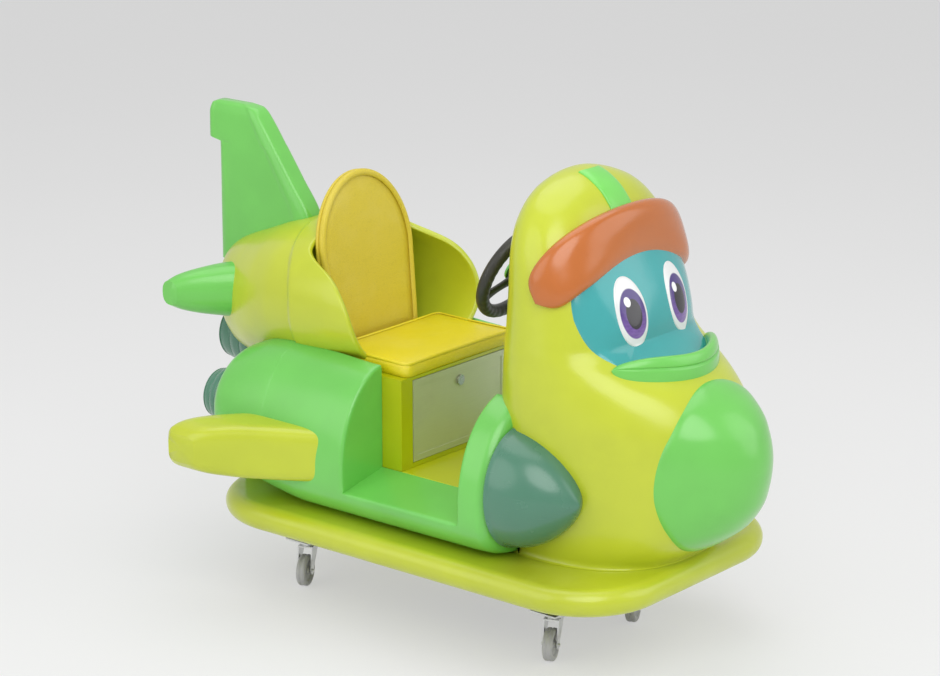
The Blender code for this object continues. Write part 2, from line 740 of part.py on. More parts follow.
def wing(tag, side, lime):
    stations = (
        (0.310, 0.105, 0.402, 0.062),
        (0.345, 0.165, 0.432, 0.064),
        (0.400, 0.262, 0.470, 0.063),
        (0.445, 0.340, 0.492, 0.057),
        (0.472, 0.382, 0.496, 0.047),
        (0.485, 0.408, 0.486, 0.033),
    )
    rings, inside = [], []
    for number, (x, front, rear, half) in enumerate(stations):
        centre = (side * x, (front + rear) / 2, 0.396)
        chord = (rear - front) / 2
        rings.append(slab_ring(centre, chord, half, WING_POWER, "X"))
        if number < 4:
            inside.append(slab_ring(centre, chord - TRIM_WALL, half - TRIM_WALL, WING_POWER, "X"))
    opening = [point - Vector((side * 0.03, 0, 0)) for point in inside[0]]
    obj = hollow(f"wing_{tag}", rings, [opening] + inside, lime)
    return boolean(obj, pod_solid(f"wing_seat_{tag}", side, GAP))


def stabiliser(tag, side, green):
    stations = (
        (0.060, 0.520, 0.660, 0.066),
        (0.120, 0.560, 0.690, 0.064),
        (0.175, 0.615, 0.715, 0.055),
        (0.215, 0.660, 0.732, 0.043),
        (0.240, 0.690, 0.738, 0.029),
    )
    rings, inside = [], []
    for number, (x, front, rear, half) in enumerate(stations):
        centre = (side * x, (front + rear) / 2, 0.662)
        chord = (rear - front) / 2
        rings.append(slab_ring(centre, chord, half, 2.4, "X", 16))
        if number < 4:
            inside.append(slab_ring(centre, chord - TRIM_WALL, half - TRIM_WALL, 2.4, "X", 16))
    opening = [point - Vector((side * 0.03, 0, 0)) for point in inside[0]]
    obj = hollow(f"stabiliser_{tag}", rings, [opening] + inside, green)
    return boolean(obj, tail_solid(f"stabiliser_seat_{tag}", GAP))


def tail_fin(green):
    """Upright fin with a square horn at the top of its rear edge."""
    stations = (
        (0.700, 0.430, 0.754, 0.034),
        (0.842, 0.467, 0.753, 0.034),
        (0.920, 0.521, 0.752, 0.033),
        (0.985, 0.568, 0.752, 0.032),
        (0.993, 0.574, 0.786, 0.032),
        (1.050, 0.616, 0.786, 0.030),
        (1.074, 0.638, 0.780, 0.024),
        (1.081, 0.665, 0.765, 0.014),
    )
    rings, inside = [], []
    for number, (z, front, rear, half) in enumerate(stations):
        centre = (0.0, (front + rear) / 2, z)
        chord = (rear - front) / 2
        rings.append(slab_ring(centre, chord, half, 5.0, "Z"))
        if number < 4:
            inside.append(slab_ring(centre, chord - TRIM_WALL, half - TRIM_WALL, 5.0, "Z"))
    opening = [point - Vector((0, 0, 0.03)) for point in inside[0]]
    obj = hollow("tail_fin", rings, [opening] + inside, green, smooth=50)
    return boolean(obj, tail_solid("fin_seat", GAP))


def front_station(z):
    """Rearmost y, foremost y, half width, waist and roundness of the front moulding at z."""
    last = len(FRONT_STATIONS) - 1
    number = max(k for k in range(last) if FRONT_STATIONS[k][0] <= z)
    low, high = FRONT_STATIONS[number], FRONT_STATIONS[number + 1]
    share = (z - low[0]) / (high[0] - low[0])
    return [a + (b - a) * share for a, b in zip(low[1:], high[1:])]


def front_y(x, z):
    """y of the front moulding's skin ahead of its widest point."""
    _, front, half, waist, power = front_station(z)
    share = min(1.0, abs(x) / half)
    return waist - (waist - front) * (1 - share**power) ** (1 / power)


def cap_ring(size, rise, inset=0.0):
    """Ring of the nose cap: an oval of that share of its size, above the front moulding."""
    half_width = CAP_HALF_WIDTH * size - inset
    half_height = CAP_HALF_HEIGHT * size - inset
    shape = oval(28, half_width, half_height, half_height, 2.15, 2.15)
    return [Vector((x, front_y(x, CAP_Z + z) - rise, CAP_Z + z)) for x, z in shape]


def nose_cap(green, front_cutter, lip_cutter):
    """Bulging oval cap over the front of the fuselage."""
    root, rim = 0.020, 0.004
    sizes = (1.0, 0.985, 0.94, 0.86, 0.74, 0.58, 0.40, 0.20)
    rings, inside = [cap_ring(1.0, -root)], [cap_ring(1.0, -root - 0.01, TRIM_WALL)]
    for number, size in enumerate(sizes):
        rise = rim + (CAP_RISE - rim) * (1 - size**2) ** 0.62
        rings.append(cap_ring(size, rise))
        if 0 < number < len(sizes) - 1:
            inside.append(cap_ring(size, rise - TRIM_WALL, TRIM_WALL))
    rings.append(cap_ring(0.05, CAP_RISE))
    obj = hollow("nose_cap", rings, inside, green, smooth=60)
    boolean(obj, front_cutter)
    return boolean(obj, lip_cutter)


def skin_patch(name, thickness, outline, low_y, high_y, material, under):
    """Panel that follows the front moulding: its outer skin inside an (x, z) outline."""
    obj = loft(name, [front_ring(*s) for s in FRONT_STATIONS], material, grow=thickness)
    bm = bmesh.new()
    face = bm.faces.new([bm.verts.new((x, low_y, z)) for x, z in outline])
    made = bmesh.ops.extrude_face_region(bm, geom=[face])
    moved = [item for item in made["geom"] if isinstance(item, bmesh.types.BMVert)]
    bmesh.ops.translate(bm, verts=moved, vec=(0, high_y - low_y, 0))
    boolean(obj, mesh_object(f"{name}_outline", bm), "INTERSECT")
    return boolean(obj, under)


def oval_outline(count, x, z, half_x, half_z, power, lean=0.0):
    """(x, z) outline; lean narrows it towards its bottom."""
    shape = oval(count, half_x, half_z, half_z, power, power)
    return [(x + a * (1 + lean * min(0.0, b)), z + b) for a, b in shape]


def windscreen(blue, front_cutter, trims):
    """Panel over the face, down to the middle of the lip."""
    outline = oval_outline(28, 0, 0.800, 0.204, 0.135, 2.6, 0.6)
    outline = [(x, max(z, LIP_Z + 0.006)) for x, z in outline]
    obj = skin_patch("windscreen", SCREEN_THICK, outline, -0.80, -0.40, blue, front_cutter)
    for trim in trims:
        boolean(obj, trim)


def eyes(white, trim):
    """Two plain raised ovals on the windscreen."""
    under = front_solid("screen_skin", SCREEN_THICK + GAP)
    for tag, side in (("left", 1), ("right", -1)):
        outline = oval_outline(22, side * EYE_X, EYE_Z, EYE_HALF_WIDTH, EYE_HALF_HEIGHT, 2.0)
        obj = skin_patch(f"eye_{tag}", SCREEN_THICK + 0.005, outline, -0.80, -0.40, white, under)
        boolean(obj, trim)


def crest(green, front_cutter, trim):
    outline = [(-0.034, 0.93), (0.034, 0.93), (0.030, 1.12), (-0.030, 1.12)]
    obj = skin_patch("crest_stripe", 0.006, outline, -0.80, -0.26, green, front_cutter)
    boolean(obj, trim)


def front_point(angle, z):
    """Point on the front moulding: angle 0 is dead ahead, positive towards +x."""
    back, front, half, waist, power = front_station(z)
    sine, cosine = math.sin(angle), math.cos(angle)
    if cosine <= 0:
        power = FRONT_BACK_POWER
    reach = waist - front if cosine > 0 else back - waist
    scale = (abs(sine) ** power + abs(cosine) ** power) ** (-1 / power)
    return Vector((half * sine * scale, waist - reach * cosine * scale, z))


BAND_WAIST_Y = -0.350


def band_rings(points, half_heights, half_depth, sides):
    """Sections of a rounded band laid along points on the front moulding."""
    rings = []
    last = len(points) - 1
    for number, point in enumerate(points):
        ahead = points[min(number + 1, last)] - points[max(number - 1, 0)]
        ahead.normalize()
        outward = Vector((point.x, (point.y - BAND_WAIST_Y) * 1.6, 0)).normalized()
        across = ahead.cross(outward).normalized()
        outward = across.cross(ahead).normalized()
        half = half_heights[number]
        depth = half_depth * min(1.0, half / 0.03)
        shape = oval(sides, half, depth, depth, 2.5, 2.5)
        rings.append([point + across * a + outward * b for a, b in shape])
    return rings


def brow_rings():
    """Thick visor over the windscreen, drooping at its ends."""
    points, heights = [], []
    steps = 20
    for k in range(steps + 1):
        share = 2 * k / steps - 1
        droop = abs(share) ** 2.2
        points.append(front_point(math.radians(84) * share, 0.952 - 0.112 * droop))
        heights.append(0.052 * (1 - 0.30 * abs(share) ** 3) * (1 - abs(share) ** 22) + 0.012)
    return band_rings(points, heights, 0.030, 12)


def lip_rings():
    """Rounded ledge between the windscreen and the nose cap."""
    points, heights = [], []
    steps = 14
    for k in range(steps + 1):
        share = 2 * k / steps - 1
        points.append(front_point(math.radians(42) * share, LIP_Z + 0.012 * share**2))
        heights.append(0.034 * (1 - abs(share) ** 4) + 0.008)
    return band_rings(points, heights, 0.014, 10)


# ---------------------------------------------------------------- cockpit
def floor_pan(yellow):
    """Floor tray between the pods, resting on the ride frame."""
    low_z = FLOOR_TOP - FLOOR_THICK
    half = POD_INNER_X - GAP
    obj = box("floor_pan", (-half, -0.200, low_z), (half, 0.340, FLOOR_TOP), yellow)
    return bevel(obj, 0.003, 1)


def seat_box(yellow):
    """Box under the seat, open at the front behind its access door and open underneath."""
    low = (-SEAT_HALF_WIDTH, SEAT_FRONT_Y, FLOOR_TOP + GAP)
    high = (SEAT_HALF_WIDTH, SEAT_REAR_Y, BOX_TOP)
    obj = box("seat_box", low, high, yellow)
    inside_low = (-SEAT_HALF_WIDTH + BOX_WALL, SEAT_FRONT_Y + BOX_WALL, FLOOR_TOP - 0.02)
    inside_high = (SEAT_HALF_WIDTH - BOX_WALL, SEAT_REAR_Y - BOX_WALL, BOX_TOP - BOX_WALL)
    boolean(obj, box("seat_box_inside", inside_low, inside_high))
    room = 0.0015
    doorway = (
        (-DOOR_HALF_WIDTH + 0.012, SEAT_FRONT_Y - 0.02, DOOR_BOTTOM + 0.010),
        (DOOR_HALF_WIDTH - 0.012, SEAT_FRONT_Y + 0.02, DOOR_TOP - 0.010),
    )
    boolean(obj, box("seat_box_doorway", *doorway))
    recess = (
        (-DOOR_HALF_WIDTH - room, SEAT_FRONT_Y - 0.02, DOOR_BOTTOM - room),
        (DOOR_HALF_WIDTH + room, SEAT_FRONT_Y + DOOR_THICK, DOOR_TOP + room),
    )
    return boolean(obj, box("seat_box_recess", *recess))


def access_door(zinc, steel):
    """Sheet-metal door with a turned-in frame and a cam lock."""
    front = SEAT_FRONT_Y - 0.001
    door = box(
        "access_door",
        (-DOOR_HALF_WIDTH, front, DOOR_BOTTOM),
        (DOOR_HALF_WIDTH, SEAT_FRONT_Y + DOOR_THICK - GAP, DOOR_TOP),
        zinc,
    )
    border = 0.014
    boolean(
        door,
        box(
            "door_dish",
            (-DOOR_HALF_WIDTH + border, front - 0.01, DOOR_BOTTOM + border),
            (DOOR_HALF_WIDTH - border, front + 0.0015, DOOR_TOP - border),
        ),
    )
    lock_place = along((0, -1, 0), (LOCK_X, SEAT_FRONT_Y, LOCK_Z))
    barrel = 0.009
    boolean(
        door,
        turned(
            "lock_hole",
            [(0, -0.02), (barrel + RUNNING, -0.02), (barrel + RUNNING, 0.02), (0, 0.02)],
            lock_place,
            segments=16,
        ),
    )
    lock = turned(
        "door_lock",
        [(0, -0.020), (barrel, -0.020), (barrel, 0.0018), (0.012, 0.0018), (0.012, 0.005), (0, 0.005)],
        lock_place,
        steel,
        segments=16,
    )
    cam = box(
        "lock_cam",
        (LOCK_X - 0.034, SEAT_FRONT_Y + 0.0125, LOCK_Z - 0.007),
        (LOCK_X + 0.006, SEAT_FRONT_Y + 0.0155, LOCK_Z + 0.007),
    )
    boolean(lock, cam, "UNION")


def seat_cushion(yellow):
    low = (-CUSHION_HALF_WIDTH, SEAT_FRONT_Y - 0.006, BOX_TOP + GAP)
    high = (CUSHION_HALF_WIDTH, BACK_FOOT_Y - 0.008, BOX_TOP + GAP + CUSHION_THICK)
    return bevel(box("seat_cushion", low, high, yellow), 0.010, 2)


def seat_back(amber):
    """Tall round-topped board, reclined, standing on the seat box behind the cushion."""
    bm = bmesh.new()
    outline = [(-BACK_HALF_WIDTH * 0.86, 0.0), (BACK_HALF_WIDTH * 0.86, 0.0)]
    middle = BACK_HEIGHT - BACK_HALF_WIDTH - 0.030
    steps = 18
    for k in range(steps + 1):
        angle = math.pi * k / steps
        rise = BACK_HALF_WIDTH + 0.030
        outline.append((BACK_HALF_WIDTH * math.cos(angle), middle + rise * math.sin(angle)))
    face = bm.faces.new([bm.verts.new((x, 0, z)) for x, z in outline])
    made = bmesh.ops.extrude_face_region(bm, geom=[face])
    moved = [item for item in made["geom"] if isinstance(item, bmesh.types.BMVert)]
    bmesh.ops.translate(bm, verts=moved, vec=(0, BACK_THICK, 0))
    obj = mesh_object("seat_back", bm, amber)
    bevel(obj, BACK_ROUNDING, 2)
    obj.matrix_world = back_place()
    return obj


def electrics(dark, black):
    """Control box and loudspeaker on the floor inside the seat box."""
    floor = FLOOR_TOP + GAP
    bevel(box("control_box", (-0.140, 0.130, floor), (-0.010, 0.270, floor + 0.070), dark), 0.004, 1)
    turned(
        "speaker",
        [(0, 0), (0.034, 0), (0.034, 0.022), (0.046, 0.040), (0.058, 0.052), (0.058, 0.058), (0, 0.058)],
        Matrix.Translation((0.080, 0.200, floor)),
        black,
    )


def steering(black, green, front_cutter):
    centre = Vector(STEER_CENTRE)
    tilt = math.radians(STEER_TILT)
    axis = Vector((0, math.cos(tilt), math.sin(tilt)))
    place = along(axis, centre)
    column = turned(
        "steering_column",
        [(0, -0.170), (0.058, -0.170), (0.052, -0.090), (0.030, -0.036), (0.022, -0.0144), (0, -0.0144)],
        place,
        green,
        segments=20,
    )
    boolean(column, front_cutter)

    bm = bmesh.new()
    major, minor, around = 30, 8, math.tau
    loops = []
    for k in range(major):
        a = around * k / major
        ring = []
        for j in range(minor):
            b = around * j / minor
            reach = STEER_RADIUS + STEER_TUBE * math.cos(b)
            point = (reach * math.cos(a), reach * math.sin(a), STEER_TUBE * math.sin(b))
            ring.append(bm.verts.new(place @ Vector(point)))
        loops.append(ring)
    for k in range(major):
        for j in range(minor):
            first, second = loops[k], loops[(k + 1) % major]
            after = (j + 1) % minor
            bm.faces.new((first[j], first[after], second[after], second[j]))
    wheel = mesh_object("steering_wheel", bm, black)
    hub = turned(
        "steering_hub",
        [(0, -0.014), (0.028, -0.014), (0.034, -0.006), (0.034, 0.006), (0, 0.006)],
        place,
        segments=20,
    )
    boolean(wheel, hub, "UNION")
    for degrees in (90, 210, 330):
        high = (STEER_RADIUS - 0.003, 0.0117, 0.0041)
        spoke = box(f"spoke_{degrees}", (0.0173, -0.0117, -0.0053), high)
        spoke.matrix_world = place @ Matrix.Rotation(math.radians(degrees), 4, "Z")
        boolean(wheel, spoke, "UNION")
    turned(
        "steering_cap",
        [(0, 0.006 + GAP), (0.031, 0.006 + GAP), (0.029, 0.012), (0.018, 0.017), (0, 0.018)],
        place,
        green,
        segments=20,
    )


def start_button(black, red, front_cutter):
    place = along((0, 1, 0), (BUTTON_X, -0.250, BUTTON_Z))
    bezel_out, face = 0.018, 0.052
    bore = BUTTON_RADIUS + RUNNING
    bezel = turned(
        "button_bezel",
        [(bore, 0), (bezel_out, 0), (bezel_out, face - 0.003), (bezel_out - 0.003, face), (bore, face)],
        place,
        black,
        segments=20,
    )
    boolean(bezel, front_cutter)
    low, rim, top = face - 0.008, face + BUTTON_TRAVEL, face + 0.006
    turned(
        "start_button",
        [(0, low), (BUTTON_RADIUS, low), (BUTTON_RADIUS, rim), (BUTTON_RADIUS - 0.003, top), (0, top)],
        place,
        red,
        segments=20,
    )


# ---------------------------------------------------------------- assembly
def build():
    clear_scene()
    lime = paint("lime_gelcoat", (0.60, 0.68, 0.06), 0.28)
    green = paint("green_gelcoat", (0.18, 0.62, 0.14), 0.28)
    teal = paint("teal_gelcoat", (0.10, 0.28, 0.18), 0.30)
    blue = paint("windscreen_blue", (0.07, 0.43, 0.45), 0.25)
    orange = paint("visor_orange", (0.65, 0.20, 0.07), 0.35)
    yellow = paint("seat_yellow", (0.82, 0.70, 0.02), 0.40)
    amber = paint("back_amber", (0.70, 0.56, 0.06), 0.45)
    white = paint("eye_white", (0.85, 0.86, 0.84), 0.30)
    black = paint("black_plastic", (0.02, 0.02, 0.02), 0.45)
    red = paint("button_red", (0.60, 0.03, 0.02), 0.35)
    dark = paint("dark_enclosure", (0.08, 0.08, 0.09), 0.50)
    grey = paint("grey_casting", (0.30, 0.31, 0.33), 0.50, 0.6)
    steel = paint("painted_steel", (0.05, 0.05, 0.055), 0.45, 0.3)
    zinc = paint("zinc_plate", (0.62, 0.62, 0.63), 0.30, 0.9)
    tread = paint("grey_tread", (0.55, 0.55, 0.56), 0.50)

    base_frame(steel)
    base_tray(lime)
    corners = (("fl", 1, -1), ("fr", -1, -1), ("rl", 1, 1), ("rr", -1, 1))
    for tag, side_x, side_y in corners:
        caster(tag, side_x * CASTER_X, side_y * CASTER_Y, steel, zinc, tread)
    drive(steel, grey, zinc)
    ride_frame(steel)

    front_cutter = front_solid("front_cutter", GAP)
    front_shell(lime)
    tail_shell(lime)
    tail_trim = tail_solid("nozzle_seat", GAP)
    for tag, side in (("left", 1), ("right", -1)):
        side_pod(tag, side, green, front_cutter)
        intake_cone(tag, side, teal, front_cutter)
        rear = POD_STATIONS[-1]
        place = along((0, 1, 0), (side * rear[1], rear[0] + GAP, rear[2]))
        ribbed_nozzle(f"pod_nozzle_{tag}", place, teal, 0.084, 0.075, tail_trim)
        wing(tag, side, lime)
        stabiliser(tag, side, green)
    ribbed_nozzle("tail_nozzle", along((0, 1, 0), (0, 0.600, 0.520)), teal, 0.098, 0.125, tail_trim)
    tail_fin(green)
    boolean(loft("brow_visor", brow_rings(), orange, smooth=60), front_cutter)
    boolean(loft("lip", lip_rings(), green, smooth=60), front_cutter)
    brow_cutter = loft("brow_cutter", brow_rings(), grow=GAP)
    lip_cutter = loft("lip_cutter", lip_rings(), grow=GAP)
    nose_cap(green, front_cutter, lip_cutter)
    windscreen(blue, front_cutter, (brow_cutter, lip_cutter))
    eyes(white, brow_cutter)
    crest(green, front_cutter, brow_cutter)
    floor_pan(yellow)
    seat_box(yellow)
    access_door(zinc, steel)
    seat_cushion(yellow)
    seat_back(amber)
    electrics(dark, black)
    steering(black, green, front_cutter)
    start_button(black, red, front_cutter)


build()
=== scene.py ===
import math

import bpy
import numpy as np
from bpy.props import FloatProperty, FloatVectorProperty, PointerProperty
from bpy.types import Operator, Panel, PropertyGroup
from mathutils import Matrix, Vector


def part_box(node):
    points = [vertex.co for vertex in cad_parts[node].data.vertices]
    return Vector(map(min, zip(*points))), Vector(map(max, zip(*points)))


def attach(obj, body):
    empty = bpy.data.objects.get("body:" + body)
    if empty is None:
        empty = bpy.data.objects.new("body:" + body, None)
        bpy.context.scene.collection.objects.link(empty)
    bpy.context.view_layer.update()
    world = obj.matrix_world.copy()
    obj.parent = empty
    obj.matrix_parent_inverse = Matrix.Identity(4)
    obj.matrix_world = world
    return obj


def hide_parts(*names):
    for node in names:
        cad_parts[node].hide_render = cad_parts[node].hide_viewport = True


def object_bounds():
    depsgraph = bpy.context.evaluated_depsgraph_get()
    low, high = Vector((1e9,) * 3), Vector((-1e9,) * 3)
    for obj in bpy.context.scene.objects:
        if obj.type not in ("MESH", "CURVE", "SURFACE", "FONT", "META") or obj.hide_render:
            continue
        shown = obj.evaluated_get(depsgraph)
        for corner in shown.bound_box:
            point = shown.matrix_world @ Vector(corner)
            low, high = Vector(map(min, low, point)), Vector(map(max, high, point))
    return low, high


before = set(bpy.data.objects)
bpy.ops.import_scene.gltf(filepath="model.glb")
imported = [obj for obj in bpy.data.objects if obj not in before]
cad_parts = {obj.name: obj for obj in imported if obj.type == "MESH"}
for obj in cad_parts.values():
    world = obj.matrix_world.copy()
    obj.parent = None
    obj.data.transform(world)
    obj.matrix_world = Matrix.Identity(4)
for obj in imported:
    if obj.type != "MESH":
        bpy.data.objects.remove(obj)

bl_info = {
    "name": "Aeroplane kiddie ride",
    "version": (1, 0, 0),
    "blender": (4, 5, 0),
    "location": "View3D > Sidebar > Kiddie ride",
    "description": "Builds the finished skin, seat, controls and studio of a rocking toy aeroplane",
    "category": "Object",
}

CAD_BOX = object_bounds()
SIDES = (("left", 1), ("right", -1))

# Underside of the mouldings, and the doorways' sill, which falls away outwards.
BODY_BOTTOM = 0.2504
SILL_Z, SILL_SLOPE, POD_INNER_X = 0.3576, 0.20, 0.205
DOOR_FRONT_Y, DOOR_REAR_Y = -0.245, 0.087
SCREEN_Z, EYE_X, EYE_Z, IRIS_Z = 0.800, 0.082, 0.802, 0.799
# Middle of the turn that the visor and the lip follow, and how far its sides are drawn out.
BAND_WAIST_Y, BAND_STRETCH = -0.350, 1.6
SEAT_BOX_TOP, GAP = 0.572, 0.0004
BACK_TILT = math.radians(9.5)
STEERING_CENTRE, STEERING_TILT = np.array((0, -0.136, 0.812)), math.radians(25)
# Radius of a nozzle ring at its foot, edge, side, shoulder and neck.
RING_SHARES = (0.955, 1.0, 0.985, 0.945, 0.90)
# The casters trail this way, turned from +X.
CASTER_HEADING = math.radians(203.0)

# Front moulding: height, rearmost y, foremost y, half width, y of the widest point, roundness.
FRONT = np.array((
    (BODY_BOTTOM, -0.202, -0.615, 0.222, -0.360, 2.30),
    (0.300, -0.201, -0.675, 0.231, -0.360, 2.20),
    (0.350, -0.201, -0.719, 0.236, -0.360, 2.08),
    (0.410, -0.200, -0.745, 0.243, -0.360, 2.00),
    (0.490, -0.200, -0.755, 0.249, -0.360, 1.97),
    (0.560, -0.200, -0.744, 0.252, -0.360, 1.97),
    (0.610, -0.202, -0.716, 0.253, -0.360, 1.97),
    (0.650, -0.203, -0.673, 0.252, -0.360, 2.00),
    (0.685, -0.204, -0.610, 0.249, -0.360, 2.10),
    (0.712, -0.205, -0.556, 0.247, -0.360, 2.20),
    (0.735, -0.207, -0.532, 0.244, -0.360, 2.28),
    (0.770, -0.208, -0.526, 0.240, -0.358, 2.30),
    (0.820, -0.210, -0.512, 0.235, -0.356, 2.30),
    (0.900, -0.211, -0.473, 0.226, -0.348, 2.30),
    (0.955, -0.216, -0.448, 0.210, -0.338, 2.30),
    (1.005, -0.231, -0.420, 0.179, -0.324, 2.30),
    (1.038, -0.247, -0.393, 0.141, -0.316, 2.30),
    (1.058, -0.264, -0.366, 0.098, -0.311, 2.30),
    (1.070, -0.281, -0.341, 0.056, -0.308, 2.30),
    (1.075, -0.295, -0.320, 0.022, -0.307, 2.30),
    (1.0758, -0.305, -0.309, 0.003, -0.307, 2.30),
))
FRONT_BACK_POWER = 2.2

# Tail moulding: y, half width, underside, top.
TAIL = np.array((
    (0.100, 0.233, 0.541, 0.857),
    (0.155, 0.234, 0.540, 0.858),
    (0.240, 0.240, 0.530, 0.864),
    (0.330, 0.238, 0.515, 0.865),
    (0.420, 0.226, 0.500, 0.858),
    (0.500, 0.203, 0.485, 0.840),
    (0.570, 0.174, 0.478, 0.814),
    (0.630, 0.142, 0.485, 0.790),
    (0.685, 0.104, 0.512, 0.762),
    (0.722, 0.066, 0.560, 0.728),
    (0.742, 0.028, 0.610, 0.690),
    (0.746, 0.002, 0.648, 0.652),
))
TAIL_POWER = 2.2
TAIL_END_Y = 0.746
# Upper edge of the cockpit collar: height, y.
COLLAR = np.array((
    (0.40, 0.150), (0.640, 0.150), (0.680, 0.157), (0.715, 0.170), (0.745, 0.190),
    (0.777, 0.222), (0.795, 0.265), (0.806, 0.312), (0.816, 0.333), (0.90, 0.346),
))

# Blades: place along the span, foremost y, rearmost y, half thickness.
WING = np.array((
    (0.310, 0.105, 0.402, 0.062), (0.345, 0.165, 0.432, 0.064), (0.400, 0.262, 0.470, 0.063),
    (0.445, 0.340, 0.492, 0.057), (0.472, 0.382, 0.496, 0.047), (0.485, 0.408, 0.486, 0.033),
))
STABILISER = np.array((
    (0.060, 0.520, 0.660, 0.066), (0.120, 0.560, 0.690, 0.064), (0.175, 0.615, 0.715, 0.055),
    (0.215, 0.660, 0.732, 0.043), (0.240, 0.690, 0.738, 0.029),
))
FIN = np.array((
    (0.700, 0.430, 0.754, 0.034), (0.842, 0.467, 0.753, 0.034), (0.920, 0.521, 0.752, 0.033),
    (0.985, 0.568, 0.752, 0.032), (0.993, 0.574, 0.786, 0.032), (1.050, 0.616, 0.786, 0.030),
    (1.074, 0.638, 0.780, 0.024), (1.081, 0.665, 0.765, 0.014),
))

# Side pod: y, centre x, centre z, half width, height above and depth below the centre.
POD = np.array((
    (-0.322, 0.185, 0.395, 0.136, 0.176, 0.128),
    (-0.316, 0.178, 0.390, 0.155, 0.198, 0.134),
    (-0.296, 0.172, 0.382, 0.172, 0.220, 0.132),
    (-0.245, 0.170, 0.380, 0.175, 0.226, 0.132),
    (0.087, 0.170, 0.380, 0.175, 0.226, 0.132),
    (0.230, 0.170, 0.380, 0.175, 0.232, 0.132),
    (0.330, 0.170, 0.385, 0.173, 0.228, 0.124),
    (0.405, 0.178, 0.396, 0.163, 0.206, 0.118),
    (0.460, 0.192, 0.414, 0.144, 0.168, 0.114),
    (0.492, 0.204, 0.430, 0.122, 0.134, 0.106),
    (0.508, 0.212, 0.438, 0.100, 0.104, 0.094),
))


# ---------------------------------------------------------------- settings
def colour(name, default):
    return FloatVectorProperty(
        name=name, description=f"{name}, linear", subtype="COLOR", size=3, min=0, max=1,
        default=default,
    )


def length(name, description, default):
    return FloatProperty(name=name, description=description, default=default, unit="LENGTH")


class RideColours(PropertyGroup):
    """Finishes of the ride."""

    lime: colour("Body gelcoat", (0.560, 0.635, 0.028))
    green: colour("Nose and pod gelcoat", (0.168, 0.605, 0.100))
    teal: colour("Cone and nozzle gelcoat", (0.074, 0.228, 0.146))
    screen: colour("Windscreen panel", (0.048, 0.390, 0.395))
    visor: colour("Visor", (0.545, 0.150, 0.024))
    seat: colour("Seat vinyl", (0.860, 0.720, 0.006))
    back: colour("Seat back vinyl", (0.730, 0.580, 0.034))


class RideSizes(PropertyGroup):
    """Sizes that change the look and not the fit."""

    steering_radius: length("Steering rim radius", "Centre of the rim's tube", 0.108)
    steering_tube: length("Steering tube radius", "Radius of the rim's tube", 0.0150)
    cushion_crown: length("Cushion crown", "Rise of the cushion's middle", 0.006)
    collar_wall: length("Collar wall", "Thickness of the rounded cockpit edge", 0.014)
    tail_step: length("Tail step", "Height of the soft step round the tail", 0.007)


# ---------------------------------------------------------------- shader expressions
def sign(operation, reflected=False):
    """A method that adds the Math node of an arithmetic sign."""

    def method(self, other):
        return self.math(operation, *((other, self) if reflected else (self, other)))

    return method


class Field:
    """A number that varies over a surface; arithmetic on it adds Math nodes."""

    __add__, __radd__ = sign("ADD"), sign("ADD", True)
    __sub__, __rsub__ = sign("SUBTRACT"), sign("SUBTRACT", True)
    __mul__, __rmul__ = sign("MULTIPLY"), sign("MULTIPLY", True)
    __truediv__, __pow__ = sign("DIVIDE"), sign("POWER")

    def __init__(self, shade, socket):
        self.shade = shade
        self.socket = socket

    def math(self, operation, *values):
        node = self.shade.node("ShaderNodeMath", {"operation": operation}, dict(enumerate(values)))
        return Field(self.shade, node.outputs[0])

    def length(self, other):
        return (self * self + other * other) ** 0.5

    def step(self, low, high):
        """0 below low, 1 above high, eased between; low may be the larger."""
        start, end, first, last = (low, high, 0.0, 1.0) if low < high else (high, low, 1.0, 0.0)
        node = self.shade.node(
            "ShaderNodeMapRange",
            {"interpolation_type": "SMOOTHSTEP"},
            {"Value": self, "From Min": start, "From Max": end, "To Min": first, "To Max": last},
        )
        return Field(self.shade, node.outputs[0])


class Nodes:
    """A node tree that takes nodes with their settings and the values or links of their sockets."""

    def __init__(self, tree):
        self.tree = tree

    def plug(self, socket, value):
        if isinstance(value, Field):
            value = value.socket
        if isinstance(value, bpy.types.NodeSocket):
            self.tree.links.new(value, socket)
        elif socket.type == "RGBA":
            socket.default_value = (*value, 1.0)
        else:
            socket.default_value = value

    def node(self, kind, settings=None, inputs=None):
        """Adds a node: its settings first, then its sockets."""
        node = self.tree.nodes.new(kind)
        for key, value in (settings or {}).items():
            setattr(node, key, value)
        for key, value in (inputs or {}).items():
            self.plug(node.inputs[key], value)
        return node

    def seen(self):
        """1 where the camera looks or a gloss reflects, 0 for the light that falls on things."""
        path = self.node("ShaderNodeLightPath").outputs
        camera, glossy = (Field(self, path[key]) for key in ("Is Camera Ray", "Is Glossy Ray"))
        return camera.math("MAXIMUM", camera, glossy)


